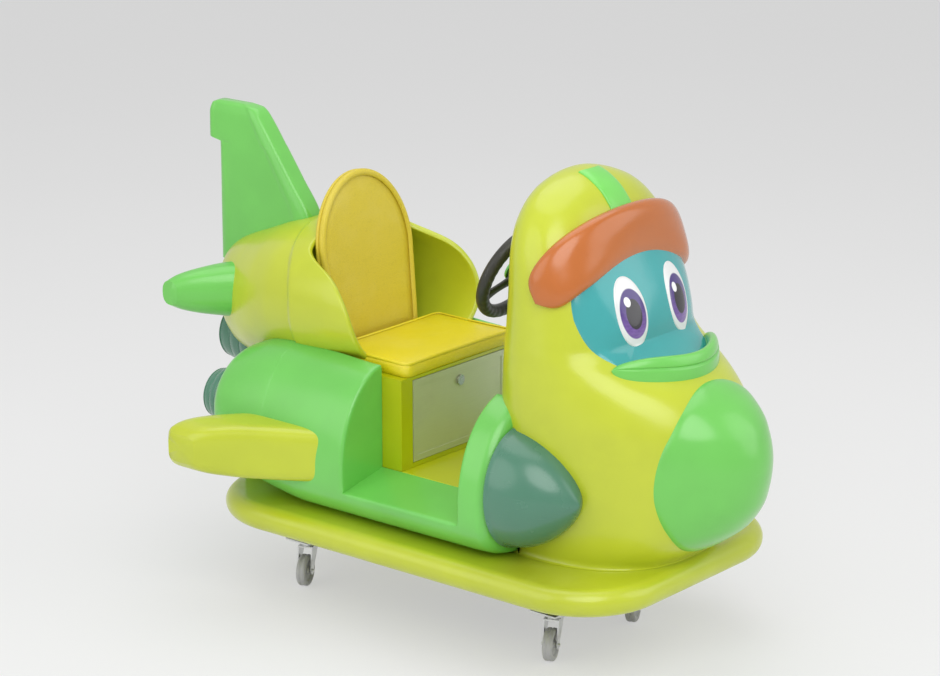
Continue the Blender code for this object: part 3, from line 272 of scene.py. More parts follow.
class Shade(Nodes):
    """One material and the nodes that make it."""

    def __init__(self, name):
        self.material = bpy.data.materials.new(name)
        self.material.use_nodes = True
        super().__init__(self.material.node_tree)
        self.shader = self.tree.nodes["Principled BSDF"]
        self.place = self.node("ShaderNodeTexCoord").outputs["Object"]

    def set(self, **inputs):
        for key, value in inputs.items():
            self.plug(self.shader.inputs[key.replace("_", " ")], value)
        return self

    def axes(self):
        """X, Y and Z of the surface point, in metres."""
        node = self.node("ShaderNodeSeparateXYZ", None, {"Vector": self.place})
        return tuple(Field(self, node.outputs[k]) for k in range(3))

    def stretched(self, stretch):
        """The surface point, scaled by its own amount along each axis."""
        inputs = {"Vector": self.place, "Scale": stretch}
        return self.node("ShaderNodeMapping", None, inputs).outputs[0]

    def noise(self, scale, detail=3.0, stretch=None):
        place = self.stretched(stretch) if stretch else self.place
        inputs = {"Vector": place, "Scale": scale, "Detail": detail, "Roughness": 0.55}
        return Field(self, self.node("ShaderNodeTexNoise", None, inputs).outputs["Fac"])

    def cells(self, scale):
        """Distance to the edge of the nearest cell of an irregular pattern."""
        inputs = {"Vector": self.stretched((1, 1, 1)), "Scale": scale}
        node = self.node("ShaderNodeTexVoronoi", {"feature": "DISTANCE_TO_EDGE"}, inputs)
        return Field(self, node.outputs["Distance"])

    def mix(self, first, second, share):
        inputs = {"Factor": share, 6: first, 7: second}
        return self.node("ShaderNodeMix", {"data_type": "RGBA"}, inputs).outputs[2]

    def relief(self, height, distance, strength=1.0):
        inputs = {"Height": height, "Distance": distance, "Strength": strength}
        return self.node("ShaderNodeBump", None, inputs).outputs[0]


def scaled(rgb, factor):
    return tuple(min(1.0, channel * factor) for channel in rgb)


def toward(rgb, other, share):
    return tuple(a + (b - a) * share for a, b in zip(rgb, other))


# ---------------------------------------------------------------- finishes
def gelcoat(name, rgb, gloss=0.30, dust=1.0):
    """Polished glass-fibre paint: orange peel, hairline scuffs, grime near the floor."""
    shade = Shade(name)
    _, _, z = shade.axes()
    drift = shade.noise(3.1, 3).step(0.32, 0.70)
    cloud = shade.noise(11.0, 5).step(0.45, 0.75)
    hair = shade.noise(14.0, 3, (1, 1, 34)).step(0.70, 0.78)
    specks = shade.noise(420.0, 1).step(0.74, 0.80)
    grime = z.step(0.34, 0.22) * cloud
    paint = shade.mix(rgb, scaled(rgb, 0.90), drift)
    paint = shade.mix(paint, scaled(rgb, 1.06), cloud * 0.35)
    paint = shade.mix(paint, (0.30, 0.27, 0.19), grime * (0.16 * dust))
    paint = shade.mix(paint, scaled(rgb, 0.72), specks * 0.35)
    peel = shade.noise(190.0, 2)
    ripple = shade.noise(16.0, 2)
    shade.set(
        Base_Color=paint,
        Roughness=gloss + cloud * 0.06 + hair * 0.06 + grime * 0.25,
        Normal=shade.relief(peel * 0.22 + ripple * 0.9 - hair * 0.02, 0.0006),
        Coat_Weight=0.40,
        Coat_Roughness=0.17,
    )
    return shade.material


def vinyl(name, rgb):
    """Upholstery vinyl: leather grain, polished where it is sat on, darker in its pores."""
    shade = Shade(name)
    grain = shade.cells(260.0).step(0.0, 0.16)
    fine = shade.noise(640.0, 2)
    worn = shade.noise(7.0, 4).step(0.42, 0.72)
    creases = shade.noise(18.0, 3, (1, 3.2, 1)).step(0.60, 0.72)
    tint = shade.mix(scaled(rgb, 0.80), rgb, grain * 0.6 + 0.4)
    tint = shade.mix(tint, toward(rgb, (0.95, 0.86, 0.45), 0.25), worn * 0.30)
    tint = shade.mix(tint, scaled(rgb, 0.86), creases * 0.25)
    shade.set(
        Base_Color=tint,
        Roughness=0.46 - worn * 0.12 + fine * 0.05,
        Normal=shade.relief(grain * 0.7 + fine * 0.15 - creases * 0.5, 0.00035),
        Coat_Weight=0.12,
        Coat_Roughness=0.25,
    )
    return shade.material


def brushed(name, rgb, roughness, along=(1, 60, 60), metal=1.0):
    """Sheet steel with a drawn grain and handling marks."""
    shade = Shade(name)
    grain = shade.noise(26.0, 4, along)
    marks = shade.noise(9.0, 5).step(0.48, 0.75)
    pits = shade.noise(330.0, 2).step(0.68, 0.78)
    tint = shade.mix(scaled(rgb, 0.86), scaled(rgb, 1.05), grain)
    tint = shade.mix(tint, scaled(rgb, 0.70), marks * 0.175 + pits * 0.25)
    shade.set(
        Base_Color=tint,
        Metallic=metal - pits * 0.3,
        Roughness=roughness + grain * 0.10 + marks * 0.14,
        Normal=shade.relief(grain * 0.5 - pits * 0.5, 0.00018),
    )
    return shade.material


def zinc(name, rgb):
    """Zinc-plated steel: crystal patches of slightly different brightness."""
    shade = Shade(name)
    flakes = shade.cells(150.0).step(0.0, 0.10)
    cloud = shade.noise(60.0, 3)
    dirt = shade.noise(25.0, 5).step(0.55, 0.75)
    tint = shade.mix(scaled(rgb, 0.82), rgb, cloud)
    tint = shade.mix(tint, (0.16, 0.14, 0.11), dirt * 0.35)
    shade.set(
        Base_Color=tint,
        Metallic=0.95 - dirt * 0.4,
        Roughness=0.26 + cloud * 0.10 + dirt * 0.25,
        Normal=shade.relief(flakes * 0.3 + cloud * 0.3, 0.0002),
    )
    return shade.material


def moulded(name, rgb, roughness, grit=0.0004):
    """Moulded plastic or rubber with a fine matt texture, paler on its scuffs."""
    shade = Shade(name)
    texture = shade.noise(520.0, 3)
    cloud = shade.noise(14.0, 4)
    scuffs = shade.noise(34.0, 4, (1, 5, 1)).step(0.62, 0.74)
    tint = shade.mix(scaled(rgb, 0.85), scaled(rgb, 1.15), cloud)
    tint = shade.mix(tint, toward(rgb, (0.45, 0.45, 0.44), 0.30), scuffs * 0.5)
    shade.set(
        Base_Color=tint,
        Roughness=roughness + texture * 0.10 + scuffs * 0.10,
        Normal=shade.relief(texture, grit, 0.6),
    )
    return shade.material


def painted_metal(name, rgb, metallic, roughness):
    """Sprayed or cast metal: lumpy skin, dust and worn bright spots."""
    shade = Shade(name)
    skin = shade.noise(240.0, 3)
    cloud = shade.noise(20.0, 5)
    worn = shade.noise(48.0, 5).step(0.66, 0.74)
    tint = shade.mix(scaled(rgb, 0.80), scaled(rgb, 1.25), cloud)
    tint = shade.mix(tint, (0.34, 0.33, 0.31), worn * 0.45)
    shade.set(
        Base_Color=tint,
        Metallic=metallic + worn * (0.9 - metallic),
        Roughness=roughness + cloud * 0.15,
        Normal=shade.relief(skin, 0.0005, 0.5),
    )
    return shade.material


def eye_enamel(name, side):
    """White enamel with a plain round iris, pupil and one small highlight."""
    shade = Shade(name)
    x, _, z = shade.axes()
    iris_x, iris_half, iris_tall = side * EYE_X, 0.0355, 0.0525
    across = (x - iris_x) / iris_half
    upright = (z - IRIS_Z) / iris_tall
    reach = across.length(upright)
    # The highlight stands up and to the same side of both pupils.
    glint = ((x - (iris_x - 0.012)) / 0.0085).length((z - (IRIS_Z + 0.027)) / 0.0105)
    fibres = shade.noise(60.0, 3, (1, 1, 3)) * upright.step(0.6, -0.9)
    ring = shade.mix((0.060, 0.030, 0.200), (0.330, 0.160, 0.560), fibres)
    enamel = shade.mix((0.86, 0.87, 0.85), (0.80, 0.82, 0.82), shade.noise(30.0, 3))
    tint = shade.mix(ring, enamel, reach.step(0.97, 1.03))
    tint = shade.mix((0.012, 0.010, 0.016), tint, reach.step(0.58, 0.64))
    tint = shade.mix((0.95, 0.95, 0.95), tint, glint.step(0.92, 1.04))
    shade.set(
        Base_Color=tint,
        Roughness=0.16 + shade.noise(40.0, 3) * 0.06,
        Normal=shade.relief(shade.noise(220.0, 2), 0.0002, 0.5),
        Coat_Weight=0.6,
        Coat_Roughness=0.05,
    )
    return shade.material


# ---------------------------------------------------------------- surfaces
def flow(table, at):
    """Columns of a table at new keys: a cubic between rows whose slope is the harmonic mean of
    the slopes on either side, so that it never overshoots."""
    keys, values = table[:, 0], table[:, 1:]
    gaps = np.diff(keys)[:, None]
    slopes = np.diff(values, axis=0) / gaps
    before, after = slopes[:-1], slopes[1:]
    total = before + after
    same = before * after > 0
    middle = np.where(same, 2 * before * after / np.where(same, total, 1.0), 0.0)
    ends = np.vstack((slopes[:1], middle, slopes[-1:]))
    at = np.clip(np.asarray(at, float), keys[0], keys[-1])
    row = np.clip(np.searchsorted(keys, at, "right") - 1, 0, len(keys) - 2)
    t = ((at - keys[row]) / gaps[row, 0])[:, None]
    span = gaps[row]
    return (
        (2 * t**3 - 3 * t**2 + 1) * values[row]
        + (t**3 - 2 * t**2 + t) * span * ends[row]
        + (3 * t**2 - 2 * t**3) * values[row + 1]
        + (t**3 - t**2) * span * ends[row + 1]
    )


def oval(angle, power_up=2.0, power_down=None):
    """Unit superellipse: the point at each angle where |x|^p + |y|^p = 1."""
    cosine, sine = np.cos(angle), np.sin(angle)
    power = np.where(sine > 0, power_up, power_down or power_up)
    scale = (np.abs(cosine) ** power + np.abs(sine) ** power) ** (-1 / power)
    return cosine * scale, sine * scale


def turn(count):
    return np.linspace(0, math.tau, count, endpoint=False)


def stack(*axes):
    return np.stack(np.broadcast_arrays(*axes), axis=-1).astype(float)


def front_place(phi, z):
    """Point on the front moulding at turn phi from dead ahead and height z: a superellipse
    whose back and front halves have their own reach and roundness."""
    phi, z = np.broadcast_arrays(phi, z)
    back, front, half, waist, power = flow(FRONT, z.ravel()).T.reshape(5, *z.shape)
    across, ahead = np.sin(phi), np.cos(phi)
    power = np.where(ahead > 0, power, FRONT_BACK_POWER)
    scale = (np.abs(across) ** power + np.abs(ahead) ** power) ** (-1 / power)
    reach = np.where(ahead > 0, waist - front, back - waist)
    return half * across * scale, waist - reach * ahead * scale


def front_y(x, z):
    """y of the front moulding's skin ahead of its widest line, at a side distance and height."""
    x, z = np.broadcast_arrays(x, z)
    _, front, half, waist, power = flow(FRONT, z.ravel()).T.reshape(5, *z.shape)
    share = np.clip(np.abs(x) / half, 0, 0.999)
    return waist - (waist - front) * (1 - share**power) ** (1 / power)


def grid_faces(rows, columns, start):
    """Quads between neighbouring rows of a grid whose columns wrap round."""
    here = start + np.arange(rows * columns).reshape(rows, columns)
    after = np.roll(here, -1, axis=1)
    return np.stack((here[:-1], after[:-1], after[1:], here[1:]), axis=-1).reshape(-1, 4)


def grid_volume(grid, middle):
    """Six times the volume that a grid encloses, of the sign of the way its faces point."""
    here, after = grid - middle, np.roll(grid - middle, -1, axis=1)
    a, b, c, d = here[:-1], after[:-1], after[1:], here[1:]
    return np.sum(a * np.cross(b, c)) + np.sum(a * np.cross(c, d))


def build_mesh(name, parts):
    """A mesh from grids of points. Each grid's columns wrap round. Its first and last rows are
    closed on their centres unless rows_wrap joins them; every part is turned to face outwards."""
    points, quads, triangles, start = [], [], [], 0
    for grid, rows_wrap in parts:
        rows, columns = grid.shape[:2]
        flat = grid.reshape(-1, 3)
        points.append(flat)
        faces = grid_faces(rows, columns, start)
        first = start + np.arange(columns)
        last = first + (rows - 1) * columns
        start += len(flat)
        if rows_wrap:
            seam = np.stack((last, np.roll(last, -1), np.roll(first, -1), first), axis=-1)
            faces, fans = np.concatenate((faces, seam)), np.zeros((0, 3), int)
        else:
            points.append(np.stack((grid[0].mean(axis=0), grid[-1].mean(axis=0))))
            low = np.stack((np.roll(first, -1), first, np.full(columns, start)), axis=-1)
            high = np.stack((last, np.roll(last, -1), np.full(columns, start + 1)), axis=-1)
            fans = np.concatenate((low, high))
            start += 2
        closed = np.concatenate((grid, grid[:1])) if rows_wrap else grid
        if grid_volume(closed, flat.mean(axis=0)) < 0:
            faces, fans = faces[:, ::-1], fans[:, ::-1]
        quads.append(faces)
        triangles.append(fans)
    points, quads, triangles = (np.concatenate(part) for part in (points, quads, triangles))
    loops = np.concatenate((quads.ravel(), triangles.ravel())).astype(np.int32)
    corners = np.repeat((4, 3), (len(quads), len(triangles)))
    starts = np.concatenate(([0], np.cumsum(corners)[:-1])).astype(np.int32)
    mesh = bpy.data.meshes.new(name)
    mesh.vertices.add(len(points))
    mesh.vertices.foreach_set("co", points.ravel().astype(np.float32))
    mesh.loops.add(len(loops))
    mesh.loops.foreach_set("vertex_index", loops)
    mesh.polygons.add(len(starts))
    mesh.polygons.foreach_set("loop_start", starts)
    mesh.update(calc_edges=True)
    mesh.validate()
    return mesh


def piece(name, parts, material, node, body="ride", sharp=50.0):
    """Puts a finished piece in the scene, on its body, in place of its CAD node. parts is one
    closed grid, or pairs of a grid and whether its rows wrap round."""
    if isinstance(parts, np.ndarray):
        parts = [(parts, False)]
    mesh = build_mesh(name, parts)
    mesh.materials.append(material)
    mesh.shade_smooth()
    mesh.set_sharp_from_angle(angle=math.radians(sharp))
    obj = bpy.data.objects.new(name, mesh)
    bpy.context.scene.collection.objects.link(obj)
    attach(obj, body)
    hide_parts(node)
    return obj


def spun(profile, centre, axis, count=96):
    """A profile of (radius, height) rows turned about an axis through a centre."""
    profile = np.asarray(profile, float)
    axis = np.asarray(axis, float) / np.linalg.norm(axis)
    side = np.cross(axis, (0, 0, 1) if abs(axis[2]) < 0.9 else (0, 1, 0))
    side /= np.linalg.norm(side)
    up = np.cross(axis, side)
    angle = turn(count)[None, :, None]
    ring = np.cos(angle) * side + np.sin(angle) * up
    return np.asarray(centre) + profile[:, None, :1] * ring + profile[:, None, 1:] * axis


def rounded_profile(corners, radius, steps=5):
    """A path of corners with each inner corner replaced by a small arc: a curve that starts
    and ends radius away from the corner and bends towards it."""
    corners = np.asarray(corners, float)
    out = [corners[0]]
    blend = np.linspace(0, 1, steps)[:, None]
    for before, here, after in zip(corners, corners[1:], corners[2:]):
        start, end = before - here, after - here
        for side in (start, end):
            long = np.linalg.norm(side)
            side /= long
            side *= min(radius, 0.45 * long)
        start, end = here + start, here + end
        out.extend((1 - blend) ** 2 * start + 2 * blend * (1 - blend) * here + blend**2 * end)
    out.append(corners[-1])
    return np.array(out)


def mirror(grid, side):
    return grid * np.array((side, 1.0, 1.0))


def gathered(first, last, tail, steps, end_steps):
    """Even steps from first, which come ever closer together over the tail before last."""
    closing = last - tail * np.linspace(1, 0, end_steps)[1:] ** 2
    return np.concatenate((np.linspace(first, last - tail, steps), closing))


def ringed_nozzle(radius, foot, rise, levels, mouth, core, rounding):
    """Half outline of a nozzle, as radius and height: three stepped rings, each an eighth smaller
    than the last, round a bore. foot is the root's radius and depth."""
    profile = [(core, -foot[1]), (foot[0], -foot[1])]
    for n in range(3):
        ring = 1 - 0.13 * n
        profile += [(ring * share, rise * n + level) for share, level in zip(RING_SHARES, levels)]
    profile += zip((0.70, 0.66, 0.62, 0.60, core), mouth)
    return rounded_profile(np.array(profile) * (radius, 1), rounding)


# ---------------------------------------------------------------- front moulding
class RIDE_OT_front(Operator):
    """Front moulding: one closed skin over the nose, the cheeks and the crown"""

    bl_idname = "ride.front"
    bl_label = "Front moulding"

    def execute(self, context):
        colours = context.scene.ride_colours
        # Heights come closer together at the foot and near the crown.
        rise = np.concatenate((
            np.linspace(BODY_BOTTOM, 0.268, 10), np.linspace(0.272, 0.99, 110),
            np.linspace(0.995, 1.0755, 60),
        ))[:, None]
        # A hollow quarter-round leads the foot out on to the tray.
        cove_height, cove_width, middle_width = 0.016, 0.010, 0.24
        level = np.clip((rise - BODY_BOTTOM) / cove_height, 0, 1)
        swell = 1 + cove_width * (1 - np.sqrt(1 - (1 - level) ** 2)) / middle_width
        x, y = front_place(turn(288)[None, :], rise)
        middle = flow(FRONT, rise[:, 0])[:, 3:4]
        grid = stack(x * swell, middle + (y - middle) * swell, rise)
        lime = gelcoat("lime_gelcoat_front", colours.lime)
        piece("front_skin", grid, lime, "front_shell")
        return {"FINISHED"}


def patch(outline, proud, rows, sunk=0.004):
    """A closed pad that lies on the front moulding: rings of an outline shrink to its middle,
    crowned on top, with a rounded edge. outline(share) gives x and z rings."""
    grids = []

    def ring(share, lift):
        x, z = outline(share)
        grids.append(stack(x, front_y(x, z) - lift, z))

    for share in np.linspace(0.03, 1.0, rows):
        edge = np.clip((1 - share) / 0.07, 0, 1)
        ring(share, proud * (0.55 * np.sqrt(1 - (1 - edge) ** 2) + 0.45 * (1 - share**2.4)))
    for depth in np.linspace(0, 1, 6)[1:]:
        ring(1.0, -sunk * depth)
    ring(0.5, -sunk)
    return np.array(grids)


class RIDE_OT_face(Operator):
    """Windscreen panel, two plain oval eyes and the crest stripe, all lying on the front skin"""

    bl_idname = "ride.face"
    bl_label = "Windscreen, eyes and crest"

    def execute(self, context):
        colours = context.scene.ride_colours
        angle = turn(200)
        ox, oz = oval(angle, 2.6)
        ex, ez = oval(angle, 2.1)
        screen_half, screen_tall, screen_cut, narrowing = 0.204, 0.135, 0.108, 0.6
        eye_half, eye_tall = 0.0438, 0.0757

        def screen(s):
            """Wide oval that narrows below its middle, cut off level at the foot."""
            z = SCREEN_Z + screen_tall * oz * s
            x = screen_half * ox * s * (1 + narrowing * np.minimum(0, z - SCREEN_Z))
            return x, SCREEN_Z + np.maximum(z - SCREEN_Z, -screen_cut * s)

        panel = gelcoat("windscreen_gelcoat", colours.screen, 0.14, 0.4)
        piece("windscreen_panel", patch(screen, 0.0046, 40), panel, "windscreen")
        for name, side in SIDES:

            def eye(s, side=side):
                return side * EYE_X + eye_half * ex * s, EYE_Z + eye_tall * ez * s

            enamel = eye_enamel(f"eye_enamel_{name}", side)
            piece(f"eye_{name}_dome", patch(eye, 0.0094, 30, 0.0046), enamel, f"eye_{name}")
        # Crest: a crowned strip from the visor over the crown, narrowing as it goes.
        count, foot, rise, crest_half, proud, sunk = 90, 0.930, 0.141, 0.037, 0.0062, 0.006
        run = np.linspace(0, 1, count)[:, None]
        z = foot + run * rise
        cx, cy = oval(turn(48)[None, :], 3.4)
        x = (crest_half - 0.001 * run) * cx
        lift = np.where(cy > 0, proud, sunk) * cy
        slope = np.gradient(front_y(np.zeros(count), z[:, 0]), z[:, 0])
        normal = np.stack((-np.ones(count), slope), axis=1)
        normal /= np.linalg.norm(normal, axis=1)[:, None]
        grid = stack(x, front_y(x, z) + lift * normal[:, :1], z + lift * normal[:, 1:])
        crest = gelcoat("green_gelcoat_crest", scaled(colours.green, 1.18))
        piece("crest_band", grid, crest, "crest_stripe")
        return {"FINISHED"}


def band(angles, heights, thick, deep, power, ring):
    """A solid bar round the front moulding: an oval section, square to its path, whose middle
    follows the skin at a turn and height. ring is the count round the section."""
    x, y = front_place(angles, heights)
    path = stack(x, y, heights)
    ahead = np.gradient(path, angles, axis=0)
    ahead /= np.linalg.norm(ahead, axis=1)[:, None]
    across = np.cross(ahead, stack(x, (y - BAND_WAIST_Y) * BAND_STRETCH, np.zeros_like(x)))
    across /= np.linalg.norm(across, axis=1)[:, None]
    outward = np.cross(across, ahead)
    cx, cy = oval(turn(ring), power)
    return (
        path[:, None, :]
        + outward[:, None, :] * (deep[:, None] * cx)[..., None]
        + across[:, None, :] * (thick[:, None] * cy)[..., None]
    )


class RIDE_OT_visor(Operator):
    """Orange visor over the windscreen, and the lip with its crease"""

    bl_idname = "ride.visor"
    bl_label = "Visor and lip"

    def execute(self, context):
        colours = context.scene.ride_colours
        # s runs from ear to ear, with points gathered at both rounded ends.
        s = np.sin(np.linspace(-1, 1, 201) * math.pi / 2)
        blunt = 1 - np.abs(s) ** 40
        round_back = 1 - np.abs(s) ** 10
        # Both bars droop or climb towards their ends, which grow thin; half sizes in metres.
        height = 0.952 - 0.121 * np.abs(s) ** 2.2
        ends = np.clip(1 - np.abs(s) ** 22, 0, 1)
        thick = 0.052 * (1 - 0.36 * np.abs(s) ** 3) * ends + 0.012 * blunt
        deep = 0.027 * (0.45 + 0.55 * round_back)
        grid = band(np.radians(82) * s, height, np.maximum(thick, 0.0005), deep, 2.5, 72)
        paint = gelcoat("orange_gelcoat", colours.visor, 0.22, 0.3)
        piece("visor_skin", grid, paint, "brow_visor")
        height = 0.674 + 0.022 * s**2
        thick = 0.038 * (1 - s**4) + 0.008 * blunt
        deep = 0.014 * (0.40 + 0.60 * round_back)
        grid = band(np.radians(43) * s, height, np.maximum(thick, 0.0004), deep, 2.4, 120)
        # The crease is pressed in below the top edge, where a narrow strip meets the broad one.
        crease_level, crease_half, crease_depth = 0.46, 0.050, 0.34
        middle = grid.mean(axis=1, keepdims=True)
        level = (grid[..., 2:] - middle[..., 2:]) / np.maximum(thick, 0.004)[:, None, None]
        press = crease_depth * np.exp(-(((level - crease_level) / crease_half) ** 2))
        press = press * (1 - s**6)[:, None, None]
        grid = grid - (grid - middle) * np.array((1, 1, 0)) * press
        lip = gelcoat("green_gelcoat_lip", colours.green)
        piece("lip_skin", grid, lip, "lip")
        return {"FINISHED"}


class RIDE_OT_nose(Operator):
    """Round nose cap: an oval patch that swells from the front moulding, with a soft shoulder"""

    bl_idname = "ride.nose"
    bl_label = "Nose cap"

    def execute(self, context):
        colours = context.scene.ride_colours
        high, half_width, half_height, rise, edge = 0.468, 0.170, 0.190, 0.0505, 0.005
        cx, cz = oval(turn(220), 2.15)
        # Below the edge the cap runs on into the moulding.
        steps = [(0.90, -0.016), (0.985, -0.012), (1.0, -0.004)]
        # Height over the moulding: a rounded shoulder of 5 mm, then a bulge like a flat dome.
        for size in np.cos(np.linspace(0.0, 1.0, 64) * math.pi / 2)[:-1]:
            shoulder = math.sqrt(1 - min(1.0, max(0.0, 1 - (1 - size) / 0.03)) ** 2)
            steps.append((size, edge * shoulder + (rise - edge) * (1 - size**2) ** 0.60))
        rows = []
        for size, lift in steps:
            x, z = half_width * size * cx, high + half_height * size * cz
            rows.append(stack(x, front_y(x, z) - lift, z))
        paint = gelcoat("green_gelcoat_nose", colours.green)
        piece("nose_skin", np.array(rows), paint, "nose_cap")
        return {"FINISHED"}


# ---------------------------------------------------------------- side pods
def evenly(path, count):
    """The same open path with points at equal steps along it."""
    steps = np.linalg.norm(np.diff(path, axis=0), axis=1)
    along = np.concatenate(([0.0], np.cumsum(steps)))
    at = np.linspace(0, along[-1], count)
    return np.stack([np.interp(at, along, path[:, k]) for k in range(path.shape[1])], axis=1)


def eased(path, passes):
    """Rounds the corners of an open path: each pass moves a point half way to its neighbours'
    middle, and the two ends stay."""
    path = path.copy()
    for _ in range(passes):
        path[1:-1] += 0.5 * ((path[:-2] + path[2:]) / 2 - path[1:-1])
    return path


# Points of a pod's outline up to the sill, over the crown, and down the inside.
LOWER_COUNT, UPPER_COUNT, INSIDE_COUNT = 64, 96, 22


def sill(x):
    """Height of the doorway's sill at a side distance."""
    return SILL_Z - SILL_SLOPE * (x - POD_INNER_X)


def pod_section(y, cut, open_side, inset=0.0, soften=True):
    """Outline of a pod at y, inner cut at x = cut: across the bottom and up the outside to the
    sill, then over the crown, or straight along the sill at a doorway, then down the inside.
    The side of an oval of power 3 below its centre and 2 above."""
    cx, cz, half, up, down = flow(POD, np.array([y]))[0]
    low = min(0.9999, (cz - BODY_BOTTOM) / down)
    first = math.atan2(-low, (1 - low**3) ** (1 / 3))
    reach = np.clip((cut - cx) / half, -0.999, 0.999)
    last = math.atan2(math.sqrt(1 - reach**2), reach)
    ox, oz = oval(np.linspace(first, last, 400), 2.0, 3.0)
    arc = np.stack((cx + half * ox, cz + np.where(oz > 0, up, down) * oz), axis=1)
    meet = int(np.argmax(arc[:, 1] > sill(arc[:, 0])))
    inner, foot = np.array((cut, sill(cut))), (cut + 0.02, BODY_BOTTOM)
    lower = np.vstack((foot, (arc[0, 0] - 0.004, BODY_BOTTOM), arc[: meet + 1]))
    lower = eased(evenly(lower, LOWER_COUNT), 6)
    if open_side:
        upper = evenly(np.vstack((arc[meet], inner)), UPPER_COUNT)
    else:
        upper = evenly(np.vstack((arc[meet:], inner)), 600)
        upper = evenly(eased(upper, 40), UPPER_COUNT)
    if inset:
        ahead = np.gradient(upper, axis=0)
        normal = np.stack((-ahead[:, 1], ahead[:, 0]), axis=1)
        normal /= np.linalg.norm(normal, axis=1)[:, None]
        # The inset starts from nothing at the sill and ends so at the inner cut.
        ends = np.clip(np.arange(UPPER_COUNT) / 8, 0, 1)
        ends = ends * np.clip((upper[:, 0] - cut) / 0.012, 0, 1)
        upper = upper + normal * (inset * ends**0.5)[:, None]
    inside = evenly(np.array((inner, (cut, BODY_BOTTOM), foot)), INSIDE_COUNT)
    loop = np.vstack((lower[:-1], upper[:-1], inside[:-1]))
    if open_side and soften:
        # The sill's outer edge is rounded over.
        edge = slice(LOWER_COUNT - 15, LOWER_COUNT + 13)
        loop[edge] = loop[edge] + (eased(loop[edge], 24) - loop[edge])
    return loop


def pod_grid():
    """Pod on the +X side: sections run from the rounded front through the doorway to the rear.
    The doorway's end walls are flat, and a quarter-round of 9 mm leads each into the outside."""
    round_off, hair, almost_middle = 0.009, 0.0001, 0.012
    quarter = np.linspace(0, math.pi / 2, 7)
    rows = []

    def add(y, cut=POD_INNER_X, open_side=False, **words):
        section = pod_section(y, cut, open_side, **words)
        rows.append(stack(section[:, 0], y, section[:, 1]))

    def rounding(a, wall_y, way):
        add(wall_y + way * round_off * (1 - math.sin(a)), inset=round_off * (1 - math.cos(a)))

    def wall(y):
        """A row on a doorway's end wall, just inside its rounded edge."""
        closed = pod_section(y, POD_INNER_X, False, inset=round_off)
        opened = pod_section(y, POD_INNER_X, True, soften=False)
        section = closed + 0.05 * (opened - closed)
        rows.append(stack(section[:, 0], y, section[:, 1]))

    for y in np.concatenate(([-0.322, -0.3205, -0.3185, -0.316], np.linspace(-0.311, -0.262, 12))):
        add(y)
    for a in quarter:
        rounding(a, DOOR_FRONT_Y, -1)
    wall(DOOR_FRONT_Y + hair)
    for y in (DOOR_FRONT_Y + 2 * hair, DOOR_FRONT_Y + 4 * hair):
        add(y, open_side=True, soften=False)
    for y in np.linspace(DOOR_FRONT_Y + 0.012, DOOR_REAR_Y - 0.012, 40):
        add(y, open_side=True)
    for y in (DOOR_REAR_Y - 4 * hair, DOOR_REAR_Y - 2 * hair):
        add(y, open_side=True, soften=False)
    wall(DOOR_REAR_Y - hair)
    for a in quarter[::-1]:
        rounding(a, DOOR_REAR_Y, 1)
    for y in np.linspace(0.104, 0.3415, 44):
        add(y)
    # Behind the cockpit the pod reaches in almost to the middle.
    for y in np.concatenate((np.linspace(0.3420, 0.495, 46), np.linspace(0.4975, 0.508, 8))):
        add(y, cut=almost_middle)
    return np.array(rows)


class RIDE_OT_pods(Operator):
    """Side pods with their open doorways, the cones ahead of them and the nozzles behind"""

    bl_idname = "ride.pods"
    bl_label = "Side pods"

    def execute(self, context):
        colours = context.scene.ride_colours
        shell = gelcoat("green_gelcoat_pod", colours.green)
        teal = gelcoat("teal_gelcoat", colours.teal, 0.26)
        grid = pod_grid()
        step = gathered(0, 1, 0.1, 40, 26)[:, None]
        size = np.maximum(0.012, (1 - step**1.9) ** 0.72)
        cx, cz = oval(turn(120), 2.0)
        # A raised rounded rim round the root of the cone, then the cone itself.
        girth = size * (1 + 0.035 * np.exp(-(((step - 0.03) / 0.02) ** 2)))
        profile = ringed_nozzle(
            0.084, (0.86, 0.012), 0.025, (0, 0.004, 0.0135, 0.0205, 0.024),
            (0.0752, 0.0748, 0.071, 0.030, 0.028), 0.30, 0.0022,
        )
        for name, side in SIDES:
            piece(f"pod_{name}_skin", mirror(grid, side), shell, f"side_pod_{name}",
                  sharp=42)
            cone = stack(
                side * (0.232 + 0.018 * step + 0.116 * girth * cx),
                -0.3226 - 0.1854 * step,
                0.410 + 0.134 * girth * cz,
            )
            piece(f"cone_{name}_skin", cone, teal, f"intake_cone_{name}")
            nozzle = spun(profile, (side * 0.212, 0.5086, 0.438), (0, 1, 0), 128)
            piece(f"nozzle_{name}_rings", nozzle, teal, f"pod_nozzle_{name}",
                  sharp=35)
        return {"FINISHED"}


# ---------------------------------------------------------------- tail
def tail_place(angle, y, inset=0.0, step=0.0):
    """Point on the tail: an oval of power 2.2 between its underside and top at y, drawn in by
    inset, with a soft step just behind the cockpit."""
    half, low, high = (np.reshape(v, np.shape(y)) for v in flow(TAIL, np.ravel(y)).T)
    ox, oz = oval(angle, TAIL_POWER)
    middle, tall = (low + high) / 2, (high - low) / 2
    # The step runs back towards the fin as it climbs, and fades out at the tail's end.
    behind = np.clip((y - 0.335 - 0.085 * np.clip(oz, 0, 1) ** 2) / 0.014, 0, 1)
    fade = np.clip((TAIL_END_Y - y) / 0.15, 0, 1)
    inset = inset + step * behind**2 * (3 - 2 * behind) * fade
    width, height = (np.maximum(size - inset, 0.0005) for size in (half, tall))
    return width * ox, middle + height * oz


